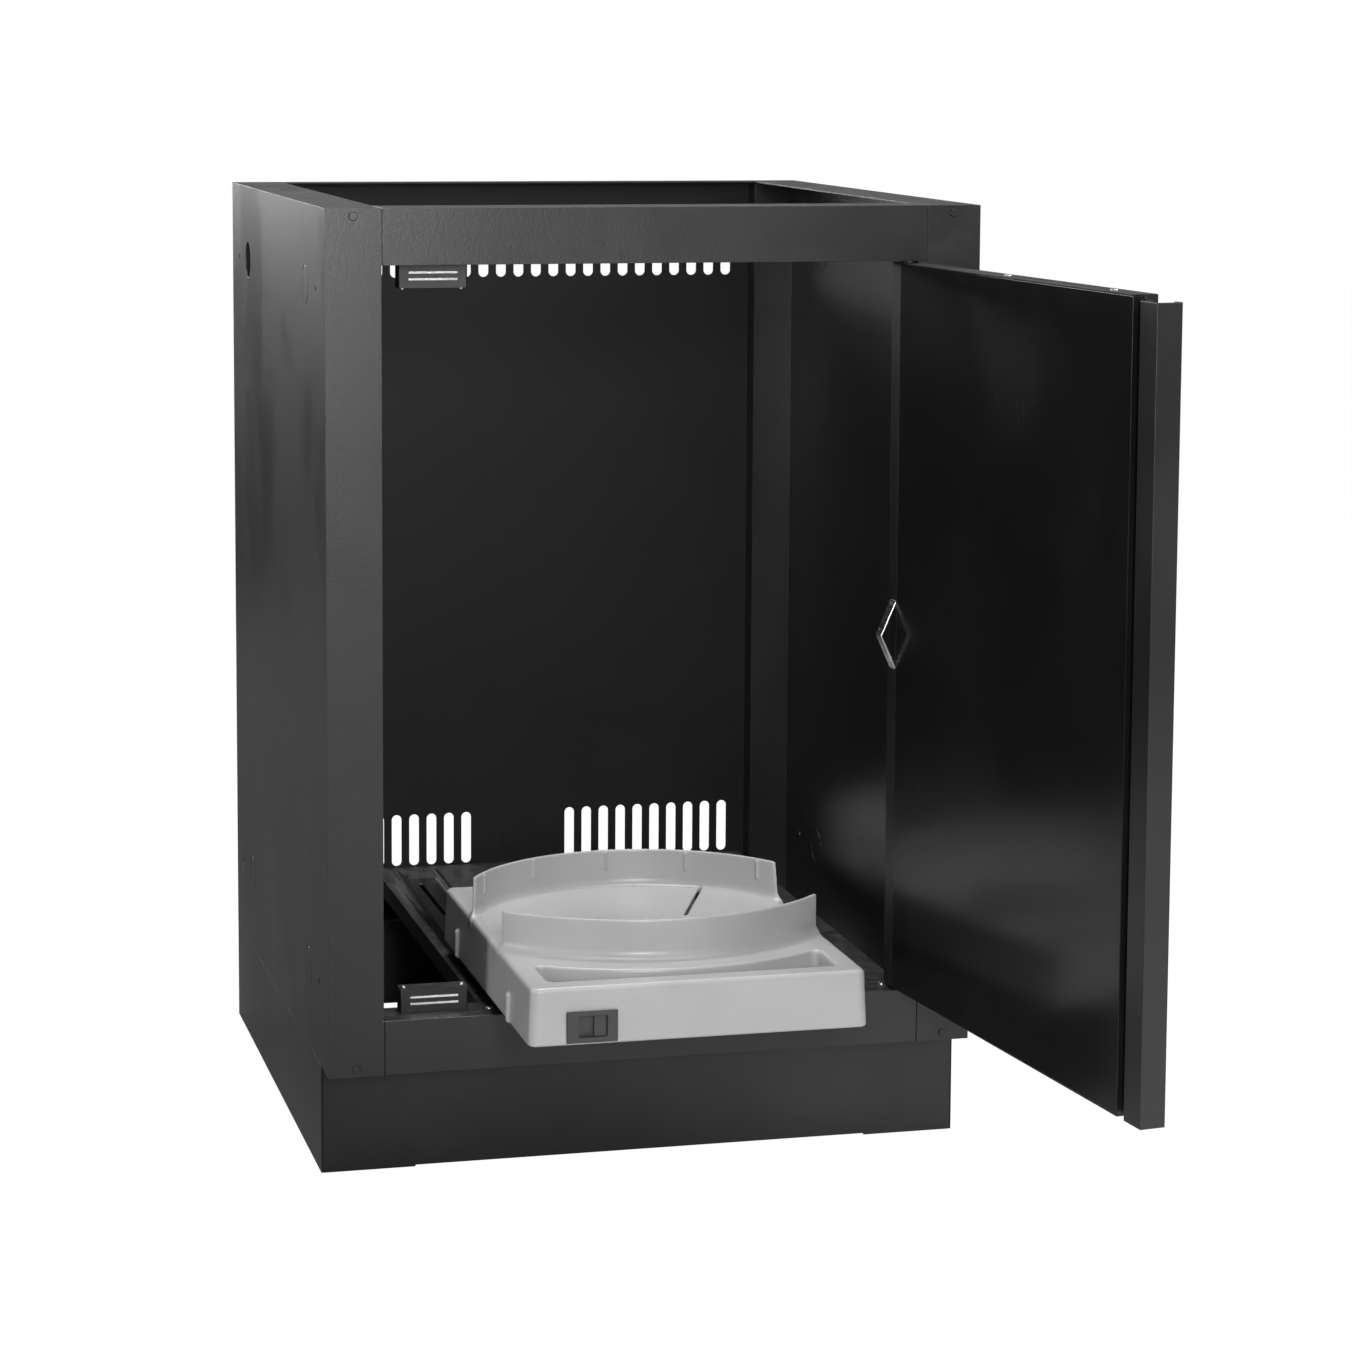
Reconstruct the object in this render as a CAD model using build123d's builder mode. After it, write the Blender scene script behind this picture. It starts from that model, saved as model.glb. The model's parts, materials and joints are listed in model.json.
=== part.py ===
"""Gas bottle cabinet for an outdoor kitchen: a sheet-steel base unit with an inset
right-hinged door and a pull-out moulded tray that carries the bottle.

Frame: millimetres, +Z up, front of the cabinet faces -Y, +X to the right when seen
from the front. The origin is on the floor, at the centre of the cabinet's footprint.
The door stands open and the tray is pulled out: that is the rest position.
"""
from build123d import *
import math
import os

os.makedirs("parts", exist_ok=True)

# ------------------------------------------------------------------ cabinet
cab_w = 600.0            # outside width
cab_d = 610.0            # outside depth
cab_h = 875.0            # floor to the top flanges
plinth_h = 100.0         # height of the plinth
plinth_recess = 45.0     # toe space in front of the plinth
sheet = 1.5              # sheet thickness of the carcass
post_w = 50.0            # width of the folded posts
rear_fold = 24.0         # return fold of the rear posts, towards the front
rail_h = 50.0            # height of the front rails
top_flange_d = 50.0      # depth of the flanges that carry the worktop
ledge_d = 45.0           # depth of the rails' inner ledges
rail_seam = 0.8          # open joint between a rail and a post
rail_tab = 18.0          # weld tabs of the front rails behind the posts
seam_lap = 4.0           # strip that backs the open joint, lap on each side of it
lip_w = 30.0             # riveted lips behind the posts, width
lip_h = 18.0             # and height
plinth_flange = 50.0     # flanges of the plinth
foot_l = 85.0            # length of the two feet of the plinth front
foot_relief = 1.5        # how far the plinth front clears the floor between them
back_flange = 30.0       # top flange of the back panel

# ventilation slots of the back panel
slot_pitch = 18.75
slot_w = 10.5
slot_h = 55.0
slot_span = 12           # slots each side of the middle
slot_skip = 2            # columns left out each side of the lower knock-out
slot_inset = 45.0        # top row: distance from the top of the carcass
slot_rise = 50.0         # lower row: distance from the bottom of the carcass

# hose holes and knock-outs
hose_r = 18.0            # radius of the open hose hole and of the knock-outs
hose_inset = 115.0       # from the front or the back face
hose_drop = 73.0         # from the top of the carcass
hose_rise = 76.0         # from the bottom of the carcass
knock_gap = 1.2          # width of the score line of a knock-out
knock_deep = 0.5         # its depth in each face of the sheet
knock_bridge = 5.0       # bridges that hold its disc
pilot_r = 2.5            # pilot hole beside each knock-out
pilot_step = 62.0        # outboard of its centre

# worktop and floor fixings
top_hole_r = 2.75
top_hole_inset = 24.0    # from the outside of the flange
top_hole_pitch_x = 380.0
top_hole_pitch_y = 420.0
anchor_r = 4.5
anchor_x = 548.0         # pattern of the floor anchors, across
anchor_y = 400.0         # and front to back

# rivets
rivet_r = 2.0
rivet_head_r = 4.0
rivet_head_t = 1.2
rivet_tail_t = 0.8
rivet_hole_r = 2.1
post_rivet_in = 25.0     # post rivets: from the side
post_rivet_up = 7.0      # and from the end of the post

# floor plate that carries the slides
plate_side = 10.5        # floor plate beyond the left slide
plate_right = 243.0
plate_lip = 18.0
plate_slot_l = 16.0
plate_slot_w = 6.0
plate_screw_y = 26.0     # behind the front face

# ------------------------------------------------------------------ door
door_gap = 2.0           # gap all round the inset door
door_t = 23.0            # thickness
door_sheet = 1.2
pivot_clear = 2.0        # pivot axis from the right post's edge, beyond half the door's thickness
open_deg = 97.0          # how far the door stands open
pin_r = 3.0
pin_head_r = 6.0
pin_fit = 0.06           # radial running clearance of the hinge pins
bush_r = 4.6
bush_flange_r = 8.0
bush_gap = 0.35          # between a bush and the rail's ledge
pin_reach = 12.0         # pin length inside the door
grip_w = 40.0            # width of the J-shaped grip at the free edge
grip_lip = 13.0          # its lip on the outer face
grip_strip = 28.0        # its flat on the inner face
grip_short = 4.0         # the grip ends this much under the door's top
liner_clear = 1.9        # liner's edge, and the skin's folded return, from the hinge bushes
cap_rivet_u = (200.0, 392.0)   # rivets on the door's end caps, from the pivot
guide_h = 64.0           # hose guide on the door
guide_proud = 15.0
guide_t = 2.0
guide_w = 12.0
guide_z = 482.0

# magnetic catches
catch_w = 62.0
catch_h = 21.5
catch_d = 17.0
catch_in = 19.0          # left end of the catches from the left post
pole_w = 44.0
pole_t = 2.0
pole_pitch = 6.0
pole_proud = 1.2
catch_clear = 0.4        # pole plates to the closed door
catch_screw_in = 4.5     # fixing screws from the ends of the catch

# ------------------------------------------------------------------ tray
tray_w = 300.0
tray_l = 393.0
tray_base_h = 51.0
tray_lift = 63.0         # underside above the bottom of the carcass
tray_travel = 310.0
tray_closed = 150.0      # front of the pushed-in tray behind the cabinet front
tray_wall = 3.0
tray_draft = 2.0
ring_r = 167.0           # rear wall of the bottle ring, outside
ring_wall = 3.5
ring_h = 36.0            # above the deck
ring_back = 196.5        # ring centre behind the tray's front
front_wall_r = 196.0     # flatter front wall of the ring, outside
front_wall_back = 76.0   # its centre, behind the ring's centre
notch_front = 53.0       # gaps of the ring, front edge ahead of the ring centre
notch_back = 80.0        # and rear edge behind it
ring_side = 3.0          # ends of the ring's walls inside the sides of the tray
notch_slope = 3.0        # slope of the rear edge of the gaps, in plan
ring_rib_step = 27.0     # angle between the ribs inside the rear wall
ring_rib_h = 20.0
ring_rib_w = 2.0
grip_front = 22.0        # grip recess, its front edge behind the tray's front
grip_arc_r = 230.0       # its rear edge, about the front wall's centre
grip_half = 130.0
grip_deep = 38.0
seat_h = 1.0             # raised seat for the bottle's foot, above the deck
seat_gap = 5.5           # round the seat, from the ring walls
seat_side = 6.0          # and from the sides of the tray
strap_slot_w = 3.0
strap_slot_l = 112.0
lug_r = 4.5
lug_proud = 3.5
lug_h = 26.0
lug_at = (87.0, 323.0)   # lugs behind the tray's front
boss_r = 5.0
boss_deep = 8.0
tray_screw_r = 1.7
tray_screw_in = 45.0     # screws from the ends of the inner slide members

# telescopic slides, lying flat under the tray
slide_x = 122.0
slide_w = 45.0
slide_sheet = 1.5
slide_run = 0.3          # running clearance between the members
slide_len = 500.0
slide_start = 47.0       # behind the cabinet front
slide_mid_len = 400.0
slide_mid_start = 130.0
slide_in_len = 333.0
slide_in_start = 200.0
slide_outer_h = 11.5
slide_lip = 3.2

# tray latch
bezel_x = -119.5         # left end, from the tray's middle
bezel_w = 45.5
bezel_h = 28.0
bezel_up = 2.0           # above the tray's underside
bezel_proud = 1.5
window_in = 11.0         # window from the bezel's left end
window_w = 25.0
window_h = 19.0
latch_run = 0.3
latch_travel = 12.0
bolt_travel = 9.0
bolt_w = 8.0
bolt_x = -82.0
bolt_h = 27.0
peg_r = 1.5
peg_up = 20.0            # cam peg above the tray's underside, at rest
guide_wall = 3.0
keeper_w = 20.0
keeper_l = 26.0
keeper_h = 11.5
keeper_hole = 9.4

# ------------------------------------------------------------------ derived
half_w = cab_w / 2
pivot_inset = door_t / 2 + pivot_clear
front = -cab_d / 2
back = cab_d / 2
body_h = cab_h - plinth_h
post_edge = half_w - post_w
catch_x = -(post_edge - catch_in)      # left end of the catches
plate_left = -(slide_x + slide_w / 2 + plate_side)
ledge_top = plinth_h + rail_h          # top of the bottom rail
ledge_under = cab_h - rail_h           # underside of the top rail
plate_z = ledge_top - sheet            # top of the floor plate
door_z0 = ledge_top + door_gap
door_z1 = ledge_under - door_gap
pivot_x = post_edge - pivot_inset
pivot_y = front + door_t / 2
hinge_u = -(pivot_inset - door_gap)    # hinge edge, measured from the pivot
hinge_return = bush_r + liner_clear - hinge_u      # folded return at the hinge edge
free_u = 2 * post_edge - pivot_inset - door_gap
half_t = door_t / 2
tray_z = plinth_h + tray_lift
deck_z = tray_z + tray_base_h
tray_front = front + tray_closed - tray_travel
ring_y = tray_front + ring_back
front_wall_y = ring_y + front_wall_back
tray_mid_y = tray_front + tray_l / 2
in_y0 = front + slide_in_start - tray_travel
tray_screw_spots = [(side * slide_x, y) for side in (-1, 1)
                    for y in (in_y0 + tray_screw_in, in_y0 + slide_in_len - tray_screw_in)]


def save(part, name):
    """Label a finished piece and write it."""
    part.label = name
    export_step(part, "parts/" + name + ".step")


def door_plane(z):
    """Plane of the open door: x runs from the pivot to the free edge, y points outward."""
    a = math.radians(open_deg)
    return Plane(origin=(pivot_x, pivot_y, z), x_dir=(-math.cos(a), -math.sin(a), 0),
                 z_dir=(0, 0, 1))


def block(x0, x1, y0, y1, z0, z1, mode=Mode.ADD):
    """A box given by its limits, inside the part being built."""
    with Locations(((x0 + x1) / 2, (y0 + y1) / 2, (z0 + z1) / 2)):
        Box(abs(x1 - x0), abs(y1 - y0), abs(z1 - z0), mode=mode)


def strip(x0, x1, y0, y1):
    """A rectangle given by its limits, inside the sketch being built."""
    with Locations(((x0 + x1) / 2, (y0 + y1) / 2)):
        Rectangle(abs(x1 - x0), abs(y1 - y0))


# ------------------------------------------------------------------ side panels
hose_front = front + hose_inset
hose_back = back - hose_inset
hose_top = cab_h - hose_drop
hose_low = plinth_h + hose_rise
knock_spots = [(hose_front, hose_top), (hose_front, hose_low), (hose_back, hose_low)]

for side, name in ((-1, "side_panel_left"), (1, "side_panel_right")):
    outer = side * half_w
    inner = side * (half_w - sheet)
    edge = side * post_edge
    with BuildPart() as panel:
        with BuildSketch(Plane.XY.offset(plinth_h)):
            strip(outer, inner, front, back - sheet)
            strip(outer, edge, front, front + sheet)
            strip(outer, edge, back - 2 * sheet, back - sheet)
        extrude(amount=body_h)
        block(edge, edge + side * sheet, back - 2 * sheet - rear_fold, back - 2 * sheet,
              plinth_h + sheet, cab_h - sheet)
        for z0 in (plinth_h, cab_h - sheet):
            block(inner, edge, front + sheet, back - 2 * sheet, z0, z0 + sheet)
        lip_mid = side * (half_w - post_rivet_in)
        for z0 in (plinth_h + sheet, cab_h - sheet - lip_h):
            block(lip_mid - lip_w / 2, lip_mid + lip_w / 2, front + sheet, front + 2 * sheet,
                  z0, z0 + lip_h)
        # clipped rear corner of the top flange
        with BuildSketch(Plane.XY.offset(cab_h - sheet)):
            with BuildLine():
                Polyline((edge, back - 2 * sheet), (edge, back - 2 * sheet - 14),
                         (edge + side * 14, back - 2 * sheet), close=True)
            make_face()
        extrude(amount=sheet, mode=Mode.SUBTRACT)
        # hose hole and the pilot holes
        spots = knock_spots + ([(hose_back, hose_top)] if side > 0 else [])
        with BuildSketch(Plane.YZ.offset(min(outer, inner) - 1)):
            if side < 0:
                with Locations((hose_back, hose_top)):
                    Circle(hose_r)
            for z in (hose_top, hose_low):
                with Locations((hose_front - pilot_step, z), (hose_back + pilot_step, z)):
                    Circle(pilot_r)
        extrude(amount=sheet + 2, mode=Mode.SUBTRACT)
        # score lines of the knock-outs in both faces of the sheet
        for x in (min(outer, inner), max(outer, inner) - knock_deep):
            with BuildSketch(Plane.YZ.offset(x)):
                for y, z in spots:
                    with Locations((y, z)):
                        Circle(hose_r)
                        Circle(hose_r - knock_gap, mode=Mode.SUBTRACT)
                        with PolarLocations(hose_r - knock_gap / 2, 3, start_angle=30):
                            Rectangle(4 * knock_gap, knock_bridge, mode=Mode.SUBTRACT)
            extrude(amount=knock_deep, mode=Mode.SUBTRACT)
        # rivet holes in the post and its lips
        with BuildSketch(Plane.XZ.offset(-front + 1)):
            with Locations((lip_mid, plinth_h + post_rivet_up), (lip_mid, cab_h - post_rivet_up)):
                Circle(rivet_hole_r)
        extrude(amount=-(2 * sheet + 2), mode=Mode.SUBTRACT)
        # worktop holes
        with BuildSketch(Plane.XY.offset(cab_h - sheet - 1)):
            for y in (-top_hole_pitch_y / 2, top_hole_pitch_y / 2):
                with Locations((side * (half_w - top_hole_inset), y)):
                    Circle(top_hole_r)
        extrude(amount=sheet + 2, mode=Mode.SUBTRACT)
        # rivet holes of the back panel
        with BuildSketch(Plane.XZ.offset(-(back - 2 * sheet) + 1)):
            with Locations(*[(side * (post_edge + 7), z) for z in
                             (hose_low + 55, plinth_h + body_h / 2, hose_top - 55)]):
                Circle(rivet_hole_r)
        extrude(amount=-(sheet + 2), mode=Mode.SUBTRACT)
    save(panel.part, name)

back_rivet_spots = [(side * (post_edge + 7), z) for side in (-1, 1) for z in
                    (hose_low + 55, plinth_h + body_h / 2, hose_top - 55)]

# ------------------------------------------------------------------ back panel
with BuildPart() as back_panel:
    block(-half_w, half_w, back - sheet, back, plinth_h, cab_h)
    block(-post_edge, post_edge, back - back_flange, back - sheet, cab_h - sheet, cab_h)
    block(-post_edge, post_edge, back - ledge_d, back - sheet, plinth_h, plinth_h + sheet)
    with BuildSketch(Plane.XZ.offset(-back - 1)):
        for col in range(-slot_span, slot_span + 1):
            with Locations((col * slot_pitch, cab_h - slot_inset - slot_h / 2)):
                SlotOverall(slot_h, slot_w, rotation=90)
            if abs(col) > slot_skip:
                with Locations((col * slot_pitch, plinth_h + slot_rise + slot_h / 2)):
                    SlotOverall(slot_h, slot_w, rotation=90)
        with Locations(*back_rivet_spots):
            Circle(rivet_hole_r)
    extrude(amount=sheet + 2, mode=Mode.SUBTRACT)
    # score lines of the knock-out in both faces of the sheet
    for y in (back, back - sheet + knock_deep):
        with BuildSketch(Plane.XZ.offset(-y)):
            with Locations((0, hose_low)):
                Circle(hose_r)
                Circle(hose_r - knock_gap, mode=Mode.SUBTRACT)
                with PolarLocations(hose_r - knock_gap / 2, 3, start_angle=30):
                    Rectangle(4 * knock_gap, knock_bridge, mode=Mode.SUBTRACT)
        extrude(amount=knock_deep, mode=Mode.SUBTRACT)
save(back_panel.part, "back_panel")

# ------------------------------------------------------------------ front rails
catch_mid_x = catch_x + catch_w / 2
catch_y0 = front + door_t + catch_clear + pole_proud     # front face of a catch
catch_screw_xs = [catch_x + catch_screw_in, catch_x + catch_w - catch_screw_in]
plate_screw_xs = [plate_left + 6, 0.0, plate_right - 20]

for z0, wide_z, wide, ledge_z, name in (
        (plinth_h, plinth_h, ledge_d, ledge_top - sheet, "bottom_front_rail"),
        (ledge_under, cab_h - sheet, top_flange_d, ledge_under, "top_front_rail")):
    with BuildPart() as rail:
        end = post_edge - rail_seam
        block(-end, end, front, front + sheet, z0, z0 + rail_h)
        block(-end, end, front + sheet, front + wide, wide_z, wide_z + sheet)
        block(-end, end, front + sheet, front + ledge_d, ledge_z, ledge_z + sheet)
        for side in (-1, 1):
            block(side * (post_edge - 8), side * (post_edge + rail_tab), front + sheet,
                  front + 2 * sheet, z0 + lip_h + 6, z0 + rail_h - lip_h - 6)
            block(side * (end - seam_lap), side * (post_edge + seam_lap), front + sheet,
                  front + 2 * sheet, z0 + sheet, z0 + rail_h - sheet)
        # hinge pin hole and catch screw holes in the ledge
        with BuildSketch(Plane.XY.offset(ledge_z - 1)):
            with Locations((pivot_x, pivot_y)):
                Circle(pin_r + 0.1)
            with Locations(*[(x, catch_y0 + catch_d / 2) for x in catch_screw_xs]):
                Circle(1.6)
            if name == "bottom_front_rail":
                with Locations(*[(x, front + plate_screw_y) for x in plate_screw_xs]):
                    Circle(rivet_hole_r)
        extrude(amount=sheet + 2, mode=Mode.SUBTRACT)
        if name == "top_front_rail":
            with BuildSketch(Plane.XY.offset(cab_h - sheet - 1)):
                with Locations((-top_hole_pitch_x / 2, front + top_hole_inset),
                               (top_hole_pitch_x / 2, front + top_hole_inset)):
                    Circle(top_hole_r)
            extrude(amount=sheet + 2, mode=Mode.SUBTRACT)
    save(rail.part, name)

# ------------------------------------------------------------------ plinth
plinth_front_y = front + plinth_recess
for side, name in ((-1, "plinth_side_left"), (1, "plinth_side_right")):
    outer = side * half_w
    inner = side * (half_w - sheet)
    with BuildPart() as skirt:
        block(outer, inner, plinth_front_y, back, 0, plinth_h)
        for z0 in (0, plinth_h - sheet):
            block(inner, side * (half_w - plinth_flange), plinth_front_y + sheet,
                  back - sheet, z0, z0 + sheet)
        with BuildSketch(Plane.XY.offset(-1)):
            with Locations((side * anchor_x / 2, -anchor_y / 2), (side * anchor_x / 2, anchor_y / 2)):
                Circle(anchor_r)
        extrude(amount=sheet + 2, mode=Mode.SUBTRACT)
    save(skirt.part, name)

for y0, dy, name in ((plinth_front_y, 1, "plinth_front"), (back, -1, "plinth_back")):
    with BuildPart() as kick:
        block(-(half_w - sheet), half_w - sheet, y0, y0 + dy * sheet, 0, plinth_h)
        block(-(half_w - plinth_flange), half_w - plinth_flange, y0 + dy * sheet,
              y0 + dy * (ledge_d - 5), plinth_h - sheet, plinth_h)
        relief = half_w - sheet - foot_l
        block(-relief, relief, y0 - dy, y0 + dy * (sheet + 1), -1, foot_relief, Mode.SUBTRACT)
    save(kick.part, name)

# ------------------------------------------------------------------ floor plate
plate_y0 = front + sheet
plate_y1 = back - sheet
plate_slot_x = plate_left + 20
with BuildPart() as floor_plate:
    block(plate_left, plate_right, plate_y0, plate_y1, plate_z - sheet, plate_z)
    for y0, dy in ((plate_y0, 1), (plate_y1, -1)):
        block(plate_left, plate_right, y0, y0 + dy * sheet, plate_z - plate_lip, plate_z - sheet)
    for x0, dx in ((plate_left, 1), (plate_right, -1)):
        block(x0, x0 + dx * sheet, plate_y0 + sheet, plate_y1 - sheet, plate_z - plate_lip,
              plate_z - sheet)
    with BuildSketch(Plane.XY.offset(plate_z - sheet - 1)):
        with Locations((plate_slot_x, front + slide_start + slide_len + 14)):
            SlotOverall(plate_slot_l, plate_slot_w)
        with Locations((pivot_x, pivot_y)):
            Circle(pin_head_r + 2)
        with Locations(*[(x, front + plate_screw_y) for x in plate_screw_xs]):
            Circle(rivet_hole_r)
        with Locations(*[(side * slide_x, front + slide_start + at) for side in (-1, 1)
                         for at in (25, slide_len - 25)]):
            Circle(rivet_hole_r)
    extrude(amount=sheet + 2, mode=Mode.SUBTRACT)
save(floor_plate.part, "floor_plate")


def rivet_row(name, spots, plane_at, stack, tail=True):
    """Domed rivets through a stack of sheets: plane_at(a, b) faces away from the stack."""
    with BuildPart() as rivets:
        for a, b in spots:
            with BuildSketch(plane_at(a, b)):
                Circle(rivet_head_r)
            extrude(amount=rivet_head_t, taper=25)
            with BuildSketch(plane_at(a, b)):
                Circle(rivet_r)
            extrude(amount=-stack)
            if tail:
                with BuildSketch(plane_at(a, b).offset(-stack)):
                    Circle(rivet_head_r - 1)
                extrude(amount=-rivet_tail_t)
    save(rivets.part, name)


rivet_row("post_rivets",
          [(side * (half_w - post_rivet_in), z) for side in (-1, 1)
           for z in (plinth_h + post_rivet_up, cab_h - post_rivet_up)],
          lambda x, z: Plane(origin=(x, front, z), x_dir=(1, 0, 0), z_dir=(0, -1, 0)), 2 * sheet)
rivet_row("back_rivets", back_rivet_spots,
          lambda x, z: Plane(origin=(x, back - 2 * sheet, z), x_dir=(1, 0, 0), z_dir=(0, -1, 0)),
          2 * sheet)
rivet_row("plate_screws", [(x, front + plate_screw_y) for x in plate_screw_xs],
          lambda x, y: Plane(origin=(x, y, ledge_top), x_dir=(1, 0, 0), z_dir=(0, 0, 1)), 2 * sheet)
rivet_row("slide_screws",
          [(side * slide_x, front + slide_start + at) for side in (-1, 1)
           for at in (25, slide_len - 25)],
          lambda x, y: Plane(origin=(x, y, plate_z - sheet), x_dir=(1, 0, 0), z_dir=(0, 0, -1)),
          sheet + slide_sheet - 0.1, tail=False)

# ------------------------------------------------------------------ magnetic catches
for z0, name in ((ledge_under - catch_h, "top"), (ledge_top, "bottom")):
    mid_z = z0 + catch_h / 2
    with BuildPart() as housing:
        block(catch_x, catch_x + catch_w, catch_y0, catch_y0 + catch_d, z0, z0 + catch_h)
        fillet(housing.edges().filter_by(Axis.Z), 1.5)
        for dz in (-pole_pitch / 2, pole_pitch / 2):
            block(catch_mid_x - pole_w / 2, catch_mid_x + pole_w / 2, catch_y0 - 1,
                  catch_y0 + catch_d - 3, mid_z + dz - pole_t / 2, mid_z + dz + pole_t / 2,
                  Mode.SUBTRACT)
        block(catch_mid_x - pole_w / 2, catch_mid_x + pole_w / 2, catch_y0 + 1,
              catch_y0 + catch_d - 3, mid_z - pole_pitch / 2 + pole_t / 2,
              mid_z + pole_pitch / 2 - pole_t / 2, Mode.SUBTRACT)
        # shouldered screw holes
        with BuildSketch(Plane.XY.offset(z0 - 1)):
            with Locations(*[(x, catch_y0 + catch_d / 2) for x in catch_screw_xs]):
                Circle(1.6)
        extrude(amount=catch_h + 2, mode=Mode.SUBTRACT)
    save(housing.part, "catch_housing_" + name)
    with BuildPart() as poles:
        for dz in (-pole_pitch / 2, pole_pitch / 2):
            block(catch_mid_x - pole_w / 2, catch_mid_x + pole_w / 2, catch_y0 - pole_proud,
                  catch_y0 + catch_d - 3, mid_z + dz - pole_t / 2, mid_z + dz + pole_t / 2)
    save(poles.part, "catch_poles_" + name)
    with BuildPart() as magnet:
        block(catch_mid_x - pole_w / 2, catch_mid_x + pole_w / 2, catch_y0 + 1,
              catch_y0 + catch_d - 3, mid_z - pole_pitch / 2 + pole_t / 2,
              mid_z + pole_pitch / 2 - pole_t / 2)
    save(magnet.part, "catch_magnet_" + name)

with BuildPart() as catch_screws:
    for head_z, tip, up in ((ledge_under - catch_h, ledge_under + sheet + 2, 1),
                            (ledge_top + catch_h, plate_z - sheet - 4, -1)):
        for x in catch_screw_xs:
            at = Plane(origin=(x, catch_y0 + catch_d / 2, head_z), x_dir=(1, 0, 0),
                       z_dir=(0, 0, up))
            with BuildSketch(at):
                Circle(1.5)
            extrude(amount=abs(tip - head_z))
            with BuildSketch(at):
                Circle(3.2)
            extrude(amount=-1.6, taper=15)
save(catch_screws.part, "catch_screws")

# ------------------------------------------------------------------ hinge
for face, up, name in ((ledge_under, 1, "top"), (ledge_top, -1, "bottom")):
    door_face = door_z1 if up > 0 else door_z0
    bush_end = door_face + up * (door_gap - bush_gap)
    away = Plane(origin=(pivot_x, pivot_y, face + up * sheet), x_dir=(1, 0, 0), z_dir=(0, 0, up))
    with BuildPart() as pin:
        with BuildSketch(away):
            Circle(pin_head_r)
        extrude(amount=2, taper=12)
        with BuildSketch(away):
            Circle(pin_r)
        extrude(amount=-(sheet + door_gap + pin_reach))
    save(pin.part, "hinge_pin_" + name)
    inward = Plane(origin=(pivot_x, pivot_y, door_face), x_dir=(1, 0, 0), z_dir=(0, 0, -up))
    with BuildPart() as bush:
        with BuildSketch(inward):
            Circle(bush_r)
        extrude(amount=pin_reach - 2)
        with BuildSketch(inward):
            Circle(bush_flange_r)
        extrude(amount=-(door_gap - bush_gap))
        with BuildSketch(inward.offset(-door_gap)):
            Circle(pin_r + pin_fit)
        extrude(amount=pin_reach + door_gap + 1, mode=Mode.SUBTRACT)
    save(bush.part, "door_bush_" + name)

# ------------------------------------------------------------------ door
grip_u = free_u - grip_w               # where the outer skin ends
step_u = free_u - grip_strip
with BuildPart() as door_skin:
    # folded skin with the grip's root
    with BuildSketch(door_plane(door_z0)):
        strip(hinge_u, grip_u, half_t - door_sheet, half_t)
        strip(hinge_u, hinge_u + door_sheet, -half_t, half_t)
        strip(hinge_u, hinge_u + hinge_return, -half_t, -half_t + door_sheet)
        strip(grip_u - door_sheet, grip_u, -door_sheet / 2, half_t)
    extrude(amount=door_z1 - door_z0)
    # J-shaped grip along the free edge
    with BuildSketch(door_plane(door_z0)):
        strip(grip_u - door_sheet, step_u + door_sheet, -door_sheet / 2, door_sheet / 2)
        strip(step_u, step_u + door_sheet, -half_t, door_sheet / 2)
        strip(step_u, free_u, -half_t, -half_t + door_sheet)
        strip(free_u - door_sheet, free_u, -half_t, half_t)
        strip(free_u - grip_lip, free_u, half_t - door_sheet, half_t)
    extrude(amount=door_z1 - door_z0 - grip_short)
    # end caps
    for z0 in (door_z0, door_z1 - door_sheet):
        with BuildSketch(door_plane(z0)):
            strip(hinge_u, grip_u, -half_t, half_t)
            Circle(bush_r + 0.05, mode=Mode.SUBTRACT)
            with Locations((cap_rivet_u[0], 0), (cap_rivet_u[1], 0)):
                Circle(rivet_hole_r, mode=Mode.SUBTRACT)
        extrude(amount=door_sheet)
save(door_skin.part, "door_skin")

with BuildPart() as door_liner:
    liner_u0 = hinge_u + hinge_return
    with BuildSketch(door_plane(door_z0 + door_sheet)):
        strip(liner_u0, grip_u, -half_t, -half_t + door_sheet)
        strip(grip_u - door_sheet, grip_u, -half_t, -door_sheet / 2)
        strip(liner_u0, liner_u0 + door_sheet, -half_t, half_t - door_sheet)
    extrude(amount=door_z1 - door_z0 - 2 * door_sheet)
    for z0 in (door_z0 + door_sheet, door_z1 - 2 * door_sheet):
        with BuildSketch(door_plane(z0)):
            strip(liner_u0, grip_u - door_sheet, -half_t, half_t - door_sheet)
            with Locations((cap_rivet_u[0], 0), (cap_rivet_u[1], 0)):
                Circle(rivet_hole_r, mode=Mode.SUBTRACT)
        extrude(amount=door_sheet)
save(door_liner.part, "door_liner")

with BuildPart() as door_rivets:
    for z, up in ((door_z1, 1), (door_z0, -1)):
        base = door_plane(z)
        for u in cap_rivet_u:
            spot = base.from_local_coords((u, 0, 0))
            at = Plane(origin=spot, x_dir=(1, 0, 0), z_dir=(0, 0, up))
            with BuildSketch(at):
                Circle(rivet_head_r - 0.5)
            extrude(amount=0.9, taper=25)
            with BuildSketch(at):
                Circle(rivet_r)
            extrude(amount=-2 * door_sheet)
            with BuildSketch(at.offset(-2 * door_sheet)):
                Circle(rivet_head_r - 1)
            extrude(amount=-0.8)
save(door_rivets.part, "door_rivets")

# bent strip that keeps the hose away from the hinge
guide_face = door_plane(guide_z)
guide_side = Plane(origin=guide_face.from_local_coords((-guide_w / 2, -half_t, 0)),
                   x_dir=guide_face.y_dir, z_dir=guide_face.x_dir)
with BuildPart() as hose_guide:
    with BuildSketch(guide_side):
        with BuildLine():
            reach = guide_h / 2
            Polyline((0, reach), (0, reach - 2.4 * guide_t), (-guide_proud + guide_t * 1.1, 0),
                     (0, -reach + 2.4 * guide_t), (0, -reach), (-guide_proud, 0), close=True)
        make_face()
    extrude(amount=guide_w)
save(hose_guide.part, "hose_guide")

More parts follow.
